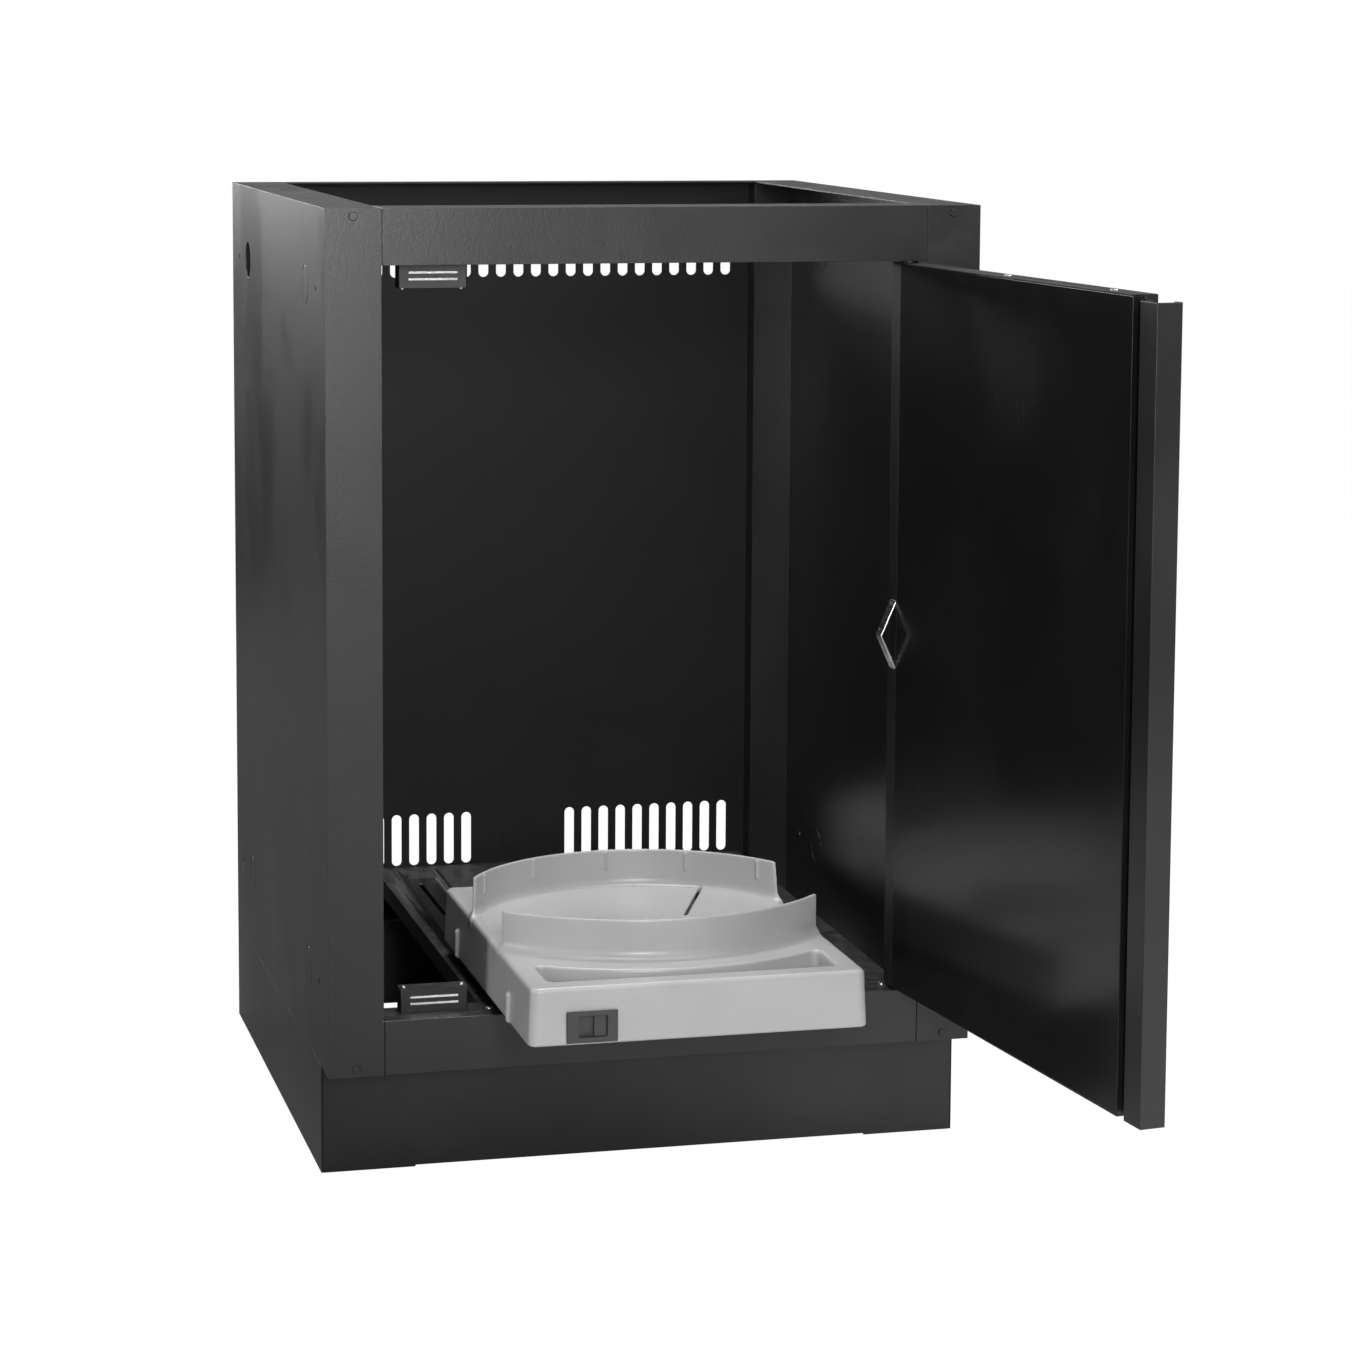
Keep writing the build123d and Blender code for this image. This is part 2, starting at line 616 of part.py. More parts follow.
# ------------------------------------------------------------------ slides
outer_y0 = front + slide_start
mid_y0 = front + slide_mid_start - tray_travel / 2
half_s = slide_w / 2
mid_half = half_s - slide_sheet - slide_run
in_half = mid_half - slide_sheet - slide_run
outer_top = plate_z + slide_outer_h
mid_z0 = plate_z + slide_sheet + slide_run
mid_z1 = outer_top - slide_sheet - slide_run
in_z0 = mid_z0 + slide_sheet + slide_run
neck = half_s - slide_sheet - slide_lip - 2 * slide_run
for side, name in ((-1, "left"), (1, "right")):
    cx = side * slide_x
    with BuildPart() as slide_outer:
        block(cx - half_s, cx + half_s, outer_y0, outer_y0 + slide_len, plate_z,
              plate_z + slide_sheet)
        for s in (-1, 1):
            block(cx + s * half_s, cx + s * (half_s - slide_sheet), outer_y0,
                  outer_y0 + slide_len, plate_z, outer_top)
            block(cx + s * half_s, cx + s * (half_s - slide_sheet - slide_lip), outer_y0,
                  outer_y0 + slide_len, outer_top - slide_sheet, outer_top)
        with BuildSketch(Plane.XY.offset(plate_z - 1)):
            with Locations((cx, outer_y0 + 25), (cx, outer_y0 + slide_len - 25)):
                Circle(rivet_hole_r)
        extrude(amount=slide_sheet + 2, mode=Mode.SUBTRACT)
    save(slide_outer.part, "slide_outer_" + name)
    with BuildPart() as slide_middle:
        block(cx - mid_half, cx + mid_half, mid_y0, mid_y0 + slide_mid_len, mid_z0,
              mid_z0 + slide_sheet)
        for s in (-1, 1):
            block(cx + s * mid_half, cx + s * (mid_half - slide_sheet), mid_y0,
                  mid_y0 + slide_mid_len, mid_z0, mid_z1)
    save(slide_middle.part, "slide_middle_" + name)
    with BuildPart() as slide_inner:
        block(cx - in_half, cx + in_half, in_y0, in_y0 + slide_in_len, in_z0,
              in_z0 + slide_sheet)
        for s in (-1, 1):
            block(cx + s * neck, cx + s * (neck - slide_sheet), in_y0,
                  in_y0 + slide_in_len, in_z0, tray_z)
        block(cx - neck, cx + neck, in_y0, in_y0 + slide_in_len, tray_z - slide_sheet, tray_z)
        with BuildSketch(Plane.XY.offset(tray_z - slide_sheet - 1)):
            with Locations(*[(x, y) for x, y in tray_screw_spots if x * side > 0]):
                Circle(tray_screw_r + 0.1)
        extrude(amount=slide_sheet + 2, mode=Mode.SUBTRACT)
    save(slide_inner.part, "slide_inner_" + name)

# ------------------------------------------------------------------ tray
recess_y = tray_front + grip_front
bezel_x1 = bezel_x + bezel_w
bezel_z0 = tray_z + bezel_up
window_x0 = bezel_x + window_in
window_x1 = window_x0 + window_w
window_mid = bezel_z0 + bezel_h / 2


with BuildPart() as tray_base:
    with BuildSketch(Plane.XY.offset(deck_z)):
        with Locations((0, tray_mid_y)):
            RectangleRounded(tray_w, tray_l, 6)
    extrude(amount=-tray_base_h, taper=-tray_draft)
    fillet(tray_base.faces().sort_by(Axis.Z)[-1].edges(), 2.5)
    # hollow underside
    under = tray_w - 2 * tray_wall
    with BuildSketch(Plane.XY.offset(tray_z)):
        with Locations((0, tray_mid_y)):
            RectangleRounded(under, tray_l - 2 * tray_wall, 4)
    extrude(amount=tray_base_h - tray_wall, mode=Mode.SUBTRACT)
    # ribs that sit on the slides, and cross ribs
    rib_y0 = in_y0 + 14
    rib_y1 = tray_front + tray_l - tray_wall
    for side in (-1, 1):
        for s in (-1, 1):
            x = side * slide_x + s * (neck - 2)
            block(x - 1.5, x + 1.5, rib_y0 + 22, rib_y1, tray_z, deck_z - tray_wall + 1)
    for y in (ring_y - 70, ring_y + 20, ring_y + 110):
        block(-slide_x + neck, slide_x - neck, y - 1.5, y + 1.5, tray_z + 12,
              deck_z - tray_wall + 1)
    # bosses for the screws of the slides
    with BuildSketch(Plane.XY.offset(tray_z)):
        with Locations(*tray_screw_spots):
            Circle(boss_r)
    extrude(amount=tray_base_h - 1)
    with BuildSketch(Plane.XY.offset(tray_z - 1)):
        with Locations(*tray_screw_spots):
            Circle(tray_screw_r + 0.1)
    extrude(amount=boss_deep + 1, mode=Mode.SUBTRACT)
    # pocket of the grip recess
    for grow, z, high, mode in ((tray_wall - 0.5, deck_z - grip_deep - tray_wall, grip_deep, Mode.ADD),
                                (0, deck_z - grip_deep, grip_deep + 1, Mode.SUBTRACT)):
        x = grip_half + grow
        r = grip_arc_r - grow
        arc_end = front_wall_y - math.sqrt(r * r - x * x)
        with BuildSketch(Plane.XY.offset(z)):
            with BuildLine():
                ThreePointArc((-x, arc_end), (0, front_wall_y - r), (x, arc_end))
                Polyline((x, arc_end), (x, recess_y - grow), (-x, recess_y - grow), (-x, arc_end))
            make_face()
        extrude(amount=high, mode=mode)
    # window of the latch
    with BuildSketch(Plane.XZ.offset(-tray_front + 6)):
        with Locations(((bezel_x + bezel_x1) / 2, window_mid)):
            Rectangle(bezel_w - 5, bezel_h - 5)
    extrude(amount=-(tray_wall + 9), mode=Mode.SUBTRACT)
    # raised seat inside the ring, which the bottle stands on
    with BuildSketch(Plane.XY.offset(deck_z)):
        with Locations((0, ring_y)):
            Circle(ring_r - ring_wall - seat_gap)
        with Locations((0, front_wall_y)):
            Circle(front_wall_r - ring_wall - seat_gap, mode=Mode.INTERSECT)
        with Locations((0, ring_y)):
            Rectangle(tray_w - 2 * seat_side, 3 * ring_r, mode=Mode.INTERSECT)
    extrude(amount=seat_h)
    # strap slot in the deck, inside the ring
    with BuildSketch(Plane.XY.offset(deck_z - tray_wall - 1)):
        with Locations(Location((66, ring_y + 84), 68)):
            SlotOverall(strap_slot_l, strap_slot_w)
    extrude(amount=tray_wall + seat_h + 2, mode=Mode.SUBTRACT)
    # side lugs
    for side in (-1, 1):
        for at in lug_at:
            with BuildSketch(Plane.XY.offset(tray_z)):
                with Locations((side * (tray_w / 2 + lug_proud - lug_r + 1), tray_front + at)):
                    Circle(lug_r)
            extrude(amount=lug_h)
save(tray_base.part, "tray_base")

ring_top = deck_z + ring_h
with BuildPart() as bottle_ring:
    # rear wall: a round wall open towards the front
    with BuildSketch(Plane.XY.offset(deck_z)):
        with Locations((0, ring_y)):
            Circle(ring_r)
            Circle(ring_r - ring_wall, mode=Mode.SUBTRACT)
    extrude(amount=ring_h)
    block(-2 * ring_r, 2 * ring_r, ring_y - 2 * ring_r, ring_y - notch_front + 8, deck_z - 1,
          ring_top + 1, Mode.SUBTRACT)
    # gaps with a sloping rear edge, where the ring would pass the sides of the tray
    with BuildSketch(Plane.YZ.offset(-2 * ring_r)):
        with BuildLine():
            Polyline((ring_y - 2 * ring_r, deck_z - 1), (ring_y + notch_back - notch_slope * 2,
                      deck_z - 1), (ring_y + notch_back, ring_top + 1),
                     (ring_y - 2 * ring_r, ring_top + 1), close=True)
        make_face()
    extrude(amount=4 * ring_r, mode=Mode.SUBTRACT)
    for side in (-1, 1):
        block(side * (tray_w / 2 - ring_side), side * 2 * ring_r, ring_y - ring_r, ring_y + 2 * ring_r,
              deck_z - 1, ring_top + 1, Mode.SUBTRACT)
    # small ribs inside the rear wall
    for i in range(-2, 3):
        a = math.radians(90 + i * ring_rib_step)
        r = ring_r - ring_wall - ring_rib_w / 2
        at = Plane(origin=(r * math.cos(a), ring_y + r * math.sin(a), ring_top - ring_rib_h),
                   x_dir=(math.cos(a), math.sin(a), 0), z_dir=(0, 0, 1))
        with BuildSketch(at):
            Rectangle(ring_rib_w + 1, ring_rib_w)
        extrude(amount=ring_rib_h - 2)
save(bottle_ring.part, "ring_rear_wall")

with BuildPart() as front_wall:
    with BuildSketch(Plane.XY.offset(deck_z)):
        with Locations((0, front_wall_y)):
            Circle(front_wall_r)
            Circle(front_wall_r - ring_wall, mode=Mode.SUBTRACT)
    extrude(amount=ring_h)
    block(-2 * ring_r, 2 * ring_r, ring_y - notch_front, ring_y + 3 * ring_r, deck_z - 1,
          ring_top + 1, Mode.SUBTRACT)
    for side in (-1, 1):
        block(side * (tray_w / 2 - ring_side), side * 2 * ring_r, ring_y - 2 * ring_r, ring_y,
              deck_z - 1, ring_top + 1, Mode.SUBTRACT)
save(front_wall.part, "ring_front_wall")

# ------------------------------------------------------------------ tray latch
face_y = tray_front - (deck_z - bezel_z0) * math.tan(math.radians(tray_draft))
with BuildPart() as bezel:
    block(bezel_x, bezel_x1, face_y - bezel_proud, face_y, bezel_z0, bezel_z0 + bezel_h)
    block(bezel_x + 2.8, bezel_x1 - 2.8, face_y, tray_front + tray_wall,
          bezel_z0 + 2.8, bezel_z0 + bezel_h - 2.8)
    block(window_x0, window_x1, tray_front - 8, tray_front + tray_wall + 1,
          window_mid - window_h / 2, window_mid + window_h / 2, Mode.SUBTRACT)
save(bezel.part, "latch_bezel")

slider_y = tray_front + tray_wall + latch_run
cam_back = slider_y + slide_sheet
peg_z = tray_z + peg_up
with BuildPart() as slider:
    # thumb piece in the window, and the cam plate behind the bezel
    block(window_x1 - 11, window_x1 - latch_run, tray_front - 0.5, slider_y,
          window_mid - window_h / 2 + latch_run, window_mid + window_h / 2 - latch_run)
    block(window_x0 - 3, bolt_x + latch_travel + 5, slider_y, cam_back, tray_z + 4,
          tray_z + peg_up + 5)
    # inclined slot that drives the bolt
    with BuildSketch(Plane.XZ.offset(-slider_y + 1)):
        with Locations(Location((bolt_x + latch_travel / 2, peg_z - bolt_travel / 2, 0),
                                (0, 0, -math.degrees(math.atan2(bolt_travel, latch_travel))))):
            SlotCenterToCenter(math.hypot(latch_travel, bolt_travel), 2 * (peg_r + latch_run))
    extrude(amount=-(slide_sheet + 2), mode=Mode.SUBTRACT)
save(slider.part, "latch_slider")

bolt_y0 = cam_back + latch_run
bolt_y = bolt_y0 + bolt_w / 2
with BuildPart() as bolt:
    block(bolt_x - bolt_w / 2, bolt_x + bolt_w / 2, bolt_y0, bolt_y0 + bolt_w, tray_z + latch_run,
          tray_z + latch_run + bolt_h)
    chamfer(bolt.faces().sort_by(Axis.Z)[0].edges(), 1.2)
    with BuildSketch(Plane.XZ.offset(-bolt_y0)):
        with Locations((bolt_x, peg_z)):
            Circle(peg_r)
    extrude(amount=slide_sheet + latch_run)
save(bolt.part, "latch_bolt")

guide_out = bolt_w / 2 + latch_run + guide_wall
guide_y1 = recess_y - (tray_wall - 0.5)
with BuildPart() as bolt_guide:
    block(bolt_x - guide_out, bolt_x + guide_out, cam_back + 2 * latch_run, guide_y1,
          deck_z - grip_deep, deck_z - grip_deep + 18)
    block(bolt_x - bolt_w / 2 - latch_run, bolt_x + bolt_w / 2 + latch_run,
          cam_back, bolt_y0 + bolt_w + latch_run, deck_z - grip_deep - 1,
          deck_z - grip_deep + 19, Mode.SUBTRACT)
save(bolt_guide.part, "bolt_guide")

keeper_y = bolt_y + tray_travel
with BuildPart() as keeper:
    block(bolt_x - keeper_w / 2, bolt_x + keeper_w / 2, keeper_y - keeper_l / 2,
          keeper_y + keeper_l / 2, plate_z + keeper_h - sheet, plate_z + keeper_h)
    for s in (-1, 1):
        block(bolt_x - keeper_w / 2, bolt_x + keeper_w / 2, keeper_y + s * keeper_l / 2,
              keeper_y + s * (keeper_l / 2 - sheet), plate_z, plate_z + keeper_h)
        block(bolt_x - keeper_w / 2, bolt_x + keeper_w / 2, keeper_y + s * keeper_l / 2,
              keeper_y + s * (keeper_l / 2 + 8), plate_z, plate_z + sheet)
    block(bolt_x - keeper_hole / 2, bolt_x + keeper_hole / 2, keeper_y - keeper_hole / 2,
          keeper_y + keeper_hole / 2, plate_z, plate_z + keeper_h + 1, Mode.SUBTRACT)
save(keeper.part, "latch_keeper")

with BuildPart() as tray_screws:
    for x, y in tray_screw_spots:
        at = Plane(origin=(x, y, tray_z - slide_sheet), x_dir=(1, 0, 0), z_dir=(0, 0, -1))
        with BuildSketch(at):
            Circle(3.4)
        extrude(amount=1.4, taper=15)
        with BuildSketch(at):
            Circle(tray_screw_r)
        extrude(amount=-(slide_sheet + boss_deep - 1))
save(tray_screws.part, "tray_screws")
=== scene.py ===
"""Looks for a gas bottle cabinet: a folded-steel unit with a hinged door and a pull-out tray."""

from __future__ import annotations

import json
import logging
import math
from dataclasses import dataclass
from enum import Enum
from typing import Any, Sequence

import bpy
import numpy as np
from mathutils import Matrix, Vector


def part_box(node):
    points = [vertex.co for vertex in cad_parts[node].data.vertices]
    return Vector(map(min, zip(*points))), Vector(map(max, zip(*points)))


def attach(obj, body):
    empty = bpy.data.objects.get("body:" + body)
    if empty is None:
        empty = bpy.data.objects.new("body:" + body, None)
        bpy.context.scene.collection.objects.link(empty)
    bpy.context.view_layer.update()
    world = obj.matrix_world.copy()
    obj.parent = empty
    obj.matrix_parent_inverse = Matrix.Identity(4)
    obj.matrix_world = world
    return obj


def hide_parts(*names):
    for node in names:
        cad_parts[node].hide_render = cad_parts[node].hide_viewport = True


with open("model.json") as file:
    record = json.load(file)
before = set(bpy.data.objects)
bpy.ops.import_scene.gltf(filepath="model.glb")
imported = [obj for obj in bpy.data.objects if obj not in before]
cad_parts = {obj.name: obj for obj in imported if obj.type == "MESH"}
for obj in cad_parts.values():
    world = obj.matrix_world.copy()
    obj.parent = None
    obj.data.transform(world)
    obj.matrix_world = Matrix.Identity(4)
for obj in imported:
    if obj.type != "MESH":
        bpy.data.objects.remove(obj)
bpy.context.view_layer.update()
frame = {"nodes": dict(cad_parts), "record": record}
log = logging.getLogger("gas_bottle_cabinet")
MM = 0.001
Socket = bpy.types.NodeSocket
Field = np.ndarray


# ---------------------------------------------------------------- node trees
class Tree:
    """Short calls that build one node tree."""

    def __init__(self, tree: bpy.types.NodeTree) -> None:
        """Empties a tree and keeps it.

        Args:
            tree: the node tree that later calls add to.
        """
        self.tree = tree
        tree.nodes.clear()

    def add(self, kind: str, feeds: dict[Any, Any] | None = None, **options: Any) -> bpy.types.Node:
        """Adds a node, sets its options, then feeds its inputs.

        Args:
            kind: the node type, without its ShaderNode start.
            feeds: a value or another node's output for each input name or number.
            options: plain attributes of the node.

        Returns:
            The new node.
        """
        node = self.tree.nodes.new("ShaderNode" + kind)
        node.location = (220 * (len(self.tree.nodes) % 9), -180 * (len(self.tree.nodes) // 9))
        for name, value in options.items():
            setattr(node, name, value)
        for name, value in (feeds or {}).items():
            if isinstance(value, Socket):
                self.tree.links.new(value, node.inputs[name])
            else:
                node.inputs[name].default_value = value
        return node

    def math(self, operation: str, a: Any, b: Any = 0.0, clamp: bool = False) -> Socket:
        """One sum on two numbers.

        Args:
            operation: the Math node's operation.
            a: first value or output.
            b: second value or output.
            clamp: whether the result is held between 0 and 1.

        Returns:
            The result's output.
        """
        return self.add("Math", {0: a, 1: b}, operation=operation, use_clamp=clamp).outputs[0]

    def remap(self, value: Any, low: float, high: float, to_low: float, to_high: float) -> Socket:
        """Stretches a range of values onto another, smoothly and clamped.

        Args:
            value: the value or output to stretch.
            low: start of the old range.
            high: end of the old range.
            to_low: start of the new range.
            to_high: end of the new range.

        Returns:
            The stretched output.
        """
        feeds = {0: value, 1: low, 2: high, 3: to_low, 4: to_high}
        return self.add("MapRange", feeds, interpolation_type="SMOOTHSTEP").outputs[0]

    def blend(self, amount: Any, a: Any, b: Any, how: str = "MIX") -> Socket:
        """Mixes two colours.

        Args:
            amount: share of the second colour.
            a: first colour or output.
            b: second colour or output.
            how: the blend type.

        Returns:
            The mixed colour's output.
        """
        feeds = {0: amount, 6: a, 7: b}
        return self.add("Mix", feeds, data_type="RGBA", blend_type=how).outputs[2]

    def group(self, group: bpy.types.NodeTree, feeds: dict[str, Any]) -> bpy.types.Node:
        """Places a shared effect.

        Args:
            group: the effect's node group.
            feeds: a value or output for each of its inputs.

        Returns:
            The placed group node.
        """
        return self.add("Group", feeds, node_tree=group)


def grey(value: float, warm: float = 0.0) -> tuple[float, float, float, float]:
    """A grey colour, a little warmer for a positive second number."""
    return (value * (1 + warm), value, value * (1 - warm), 1.0)


class Effects:
    """The surface effects that several finishes share, each one node group."""

    def __init__(self) -> None:
        """Builds every effect once."""
        self.grain = self._grain()
        self.clouds = self._clouds()
        self.dust = self._dust()
        self.scuffs = self._scuffs()
        self.lines = self._lines()

    @staticmethod
    def _start(name: str, inputs: dict[str, float], outputs: Sequence[str]) -> tuple[Tree, Any, Any]:
        """Begins a node group with its sockets.

        Args:
            name: the group's name.
            inputs: each number input with its usual value, after the Vector input.
            outputs: the number outputs.

        Returns:
            The tree, its input node and its output node.
        """
        group = bpy.data.node_groups.new(name, "ShaderNodeTree")
        tree = Tree(group)
        group.interface.new_socket("Vector", in_out="INPUT", socket_type="NodeSocketVector")
        for key, value in inputs.items():
            socket = group.interface.new_socket(key, in_out="INPUT", socket_type="NodeSocketFloat")
            socket.default_value = value
        for key in outputs:
            group.interface.new_socket(key, in_out="OUTPUT", socket_type="NodeSocketFloat")
        return tree, group.nodes.new("NodeGroupInput"), group.nodes.new("NodeGroupOutput")

    def _grain(self) -> bpy.types.NodeTree:
        """Fine pimpled texture of a sprayed or moulded skin, as a height and a speckle."""
        tree, given, made = self._start("fine_grain", {"Scale": 900.0, "Coarse": 0.35},
                                        ["Height", "Speckle"])
        fine = tree.add("TexNoise", {"Vector": given.outputs["Vector"], "Scale": given.outputs["Scale"],
                                     "Detail": 2.0, "Roughness": 0.6})
        wide = tree.add("TexNoise", {"Vector": given.outputs["Vector"],
                                     "Scale": tree.math("MULTIPLY", given.outputs["Scale"], 0.27),
                                     "Detail": 2.0, "Roughness": 0.5})
        mixed = tree.add("Mix", {0: given.outputs["Coarse"], 2: fine.outputs[0], 3: wide.outputs[0]})
        tree.tree.links.new(mixed.outputs[0], made.inputs["Height"])
        tree.tree.links.new(tree.remap(fine.outputs[0], 0.62, 0.78, 0.0, 1.0), made.inputs["Speckle"])
        return tree.tree

    def _clouds(self) -> bpy.types.NodeTree:
        """Wide soft patches, as on a coat of uneven thickness, with a slow ripple of the sheet."""
        tree, given, made = self._start("soft_clouds", {"Scale": 6.0, "Ripple Scale": 3.0},
                                        ["Patches", "Ripple"])
        patches = tree.add("TexNoise", {"Vector": given.outputs["Vector"],
                                        "Scale": given.outputs["Scale"],
                                        "Detail": 4.0, "Roughness": 0.55, "Distortion": 0.4})
        ripple = tree.add("TexNoise", {"Vector": given.outputs["Vector"],
                                       "Scale": given.outputs["Ripple Scale"], "Detail": 0.0})
        tree.tree.links.new(tree.remap(patches.outputs[0], 0.32, 0.68, 0.0, 1.0), made.inputs["Patches"])
        tree.tree.links.new(ripple.outputs[0], made.inputs["Ripple"])
        return tree.tree

    def _dust(self) -> bpy.types.NodeTree:
        """Thin dust that settles on faces that look up."""
        tree, given, made = self._start("settled_dust", {"Amount": 0.4, "Scale": 45.0}, ["Mask"])
        up = tree.add("SeparateXYZ", {0: tree.add("NewGeometry").outputs["Normal"]}).outputs["Z"]
        facing = tree.remap(up, 0.55, 0.98, 0.0, 1.0)
        noise = tree.add("TexNoise", {"Vector": given.outputs["Vector"], "Scale": given.outputs["Scale"],
                                      "Detail": 5.0, "Roughness": 0.7})
        broken = tree.remap(noise.outputs[0], 0.38, 0.72, 0.15, 1.0)
        mask = tree.math("MULTIPLY", tree.math("MULTIPLY", facing, broken),
                         given.outputs["Amount"], True)
        tree.tree.links.new(mask, made.inputs["Mask"])
        return tree.tree

    def _scuffs(self) -> bpy.types.NodeTree:
        """Short rub marks and hairline scratches from handling."""
        tree, given, made = self._start("rub_marks", {"Scale": 30.0, "Amount": 0.3}, ["Mask"])
        turned = tree.add("Mapping", {"Vector": given.outputs["Vector"], "Rotation": (0.5, 0.3, 0.7),
                                      "Scale": (1.0, 9.0, 1.6)})
        streaks = tree.add("TexNoise", {"Vector": turned.outputs[0], "Scale": given.outputs["Scale"],
                                        "Detail": 3.0, "Roughness": 0.65, "Distortion": 0.8})
        where = tree.add("TexNoise", {"Vector": given.outputs["Vector"],
                                      "Scale": tree.math("MULTIPLY", given.outputs["Scale"], 0.3),
                                      "Detail": 2.0})
        mask = tree.math("MULTIPLY", tree.remap(streaks.outputs[0], 0.60, 0.70, 0.0, 1.0),
                         tree.remap(where.outputs[0], 0.52, 0.66, 0.0, 1.0))
        mask = tree.math("MULTIPLY", mask, given.outputs["Amount"], True)
        tree.tree.links.new(mask, made.inputs["Mask"])
        return tree.tree

    def _lines(self) -> bpy.types.NodeTree:
        """Rolling or grinding lines that run one way over metal."""
        tree, given, made = self._start("rolled_lines", {"Scale": 400.0, "Stretch": 30.0}, ["Height"])
        squeeze = tree.add("CombineXYZ", {0: 1.0, 2: 1.0})
        tree.tree.links.new(tree.math("DIVIDE", 1.0, given.outputs["Stretch"]), squeeze.inputs[1])
        flat = tree.add("VectorMath", {0: given.outputs["Vector"], 1: squeeze.outputs[0]},
                        operation="MULTIPLY")
        noise = tree.add("TexNoise", {"Vector": flat.outputs[0], "Scale": given.outputs["Scale"],
                                      "Detail": 3.0, "Roughness": 0.6})
        tree.tree.links.new(noise.outputs[0], made.inputs["Height"])
        return tree.tree


# ---------------------------------------------------------------- finishes
def new_material(name: str) -> tuple[bpy.types.Material, Tree, Socket]:
    """Starts a material.

    Args:
        name: its name.

    Returns:
        The material, its emptied node tree and the output of the piece's own coordinates.
    """
    made = bpy.data.materials.new(name)
    made.use_nodes = True
    tree = Tree(made.node_tree)
    return made, tree, tree.add("TexCoord").outputs["Object"]


@dataclass(frozen=True)
class Coat:
    """A sprayed and baked coat on steel sheet.

    Fields: the coat's tone, its roughness, the depth of its pimples, how far the sheet ripples, how
    much dust lies on it, the weight of its clear top layer, and how strongly it mirrors.
    """

    name: str
    tone: float = 0.012
    rough: float = 0.42
    grain: float = 0.10
    ripple: float = 0.0006
    dust: float = 0.25
    gloss: float = 0.0
    shine: float = 0.5

    def material(self, effects: Effects) -> bpy.types.Material:
        """Builds the coat.

        Args:
            effects: the shared node groups.

        Returns:
            The finished material.
        """
        made, tree, place = new_material(self.name)
        grain = tree.group(effects.grain, {"Vector": place, "Scale": 850.0, "Coarse": 0.4})
        clouds = tree.group(effects.clouds, {"Vector": place, "Scale": 5.0, "Ripple Scale": 3.2})
        dust = tree.group(effects.dust, {"Vector": place, "Amount": self.dust, "Scale": 60.0})
        marks = tree.group(effects.scuffs, {"Vector": place, "Scale": 26.0, "Amount": 0.35})
        tone = tree.blend(clouds.outputs["Patches"], grey(self.tone), grey(self.tone * 1.35, 0.01))
        tone = tree.blend(tree.math("MULTIPLY", grain.outputs["Speckle"], 0.5), tone,
                          grey(self.tone * 2.6))
        tone = tree.blend(dust.outputs["Mask"], tone, grey(0.16, 0.05))
        rough = tree.math("ADD", tree.remap(clouds.outputs["Patches"], 0.0, 1.0, self.rough - 0.03,
                                            self.rough + 0.03),
                          tree.math("MULTIPLY", marks.outputs["Mask"], 0.12))
        rough = tree.math("ADD", rough, tree.math("MULTIPLY", dust.outputs["Mask"], 0.5), True)
        sheet = tree.add("Bump", {"Strength": 1.0, "Distance": self.ripple,
                                  "Height": clouds.outputs["Ripple"]})
        skin = tree.add("Bump", {"Strength": self.grain, "Distance": 0.0004,
                                 "Height": grain.outputs["Height"], "Normal": sheet.outputs[0]})
        shade = tree.add("BsdfPrincipled", {"Base Color": tone, "Roughness": rough,
                                            "Normal": skin.outputs[0], "Coat Weight": self.gloss,
                                            "Coat Roughness": 0.12,
                                            "Specular IOR Level": self.shine})
        tree.add("OutputMaterial", {"Surface": shade.outputs[0]})
        return made


@dataclass(frozen=True)
class Moulding:
    """An injection-moulded plastic.

    Fields: colour, roughness, depth of its skin grain and strength of its rub marks.
    """

    name: str
    colour: tuple[float, float, float, float]
    rough: float = 0.38
    grain: float = 0.06
    rubbed: float = 0.4

    def material(self, effects: Effects) -> bpy.types.Material:
        """Builds the plastic.

        Args:
            effects: the shared node groups.

        Returns:
            The finished material.
        """
        made, tree, place = new_material(self.name)
        grain = tree.group(effects.grain, {"Vector": place, "Scale": 1100.0, "Coarse": 0.5})
        clouds = tree.group(effects.clouds, {"Vector": place, "Scale": 14.0, "Ripple Scale": 9.0})
        dust = tree.group(effects.dust, {"Vector": place, "Amount": 0.12, "Scale": 80.0})
        marks = tree.group(effects.scuffs, {"Vector": place, "Scale": 42.0, "Amount": self.rubbed})
        darker = tuple(c * 0.93 for c in self.colour[:3]) + (1.0,)
        lighter = tuple(min(1.0, c * 1.25 + 0.02) for c in self.colour[:3]) + (1.0,)
        tone = tree.blend(clouds.outputs["Patches"], darker, self.colour)
        tone = tree.blend(tree.math("MULTIPLY", marks.outputs["Mask"], 0.45), tone, lighter)
        tone = tree.blend(dust.outputs["Mask"], tone, grey(0.30, 0.04))
        rough = tree.math("ADD", tree.remap(clouds.outputs["Patches"], 0.0, 1.0, self.rough - 0.04,
                                            self.rough + 0.04),
                          tree.math("MULTIPLY", marks.outputs["Mask"], 0.2), True)
        sink = tree.add("Bump", {"Strength": 1.0, "Distance": 0.0003,
                                 "Height": clouds.outputs["Ripple"]})
        skin = tree.add("Bump", {"Strength": self.grain, "Distance": 0.0003,
                                 "Height": grain.outputs["Height"], "Normal": sink.outputs[0]})
        shade = tree.add("BsdfPrincipled", {"Base Color": tone, "Roughness": rough,
                                            "Normal": skin.outputs[0], "IOR": 1.49})
        tree.add("OutputMaterial", {"Surface": shade.outputs[0]})
        return made


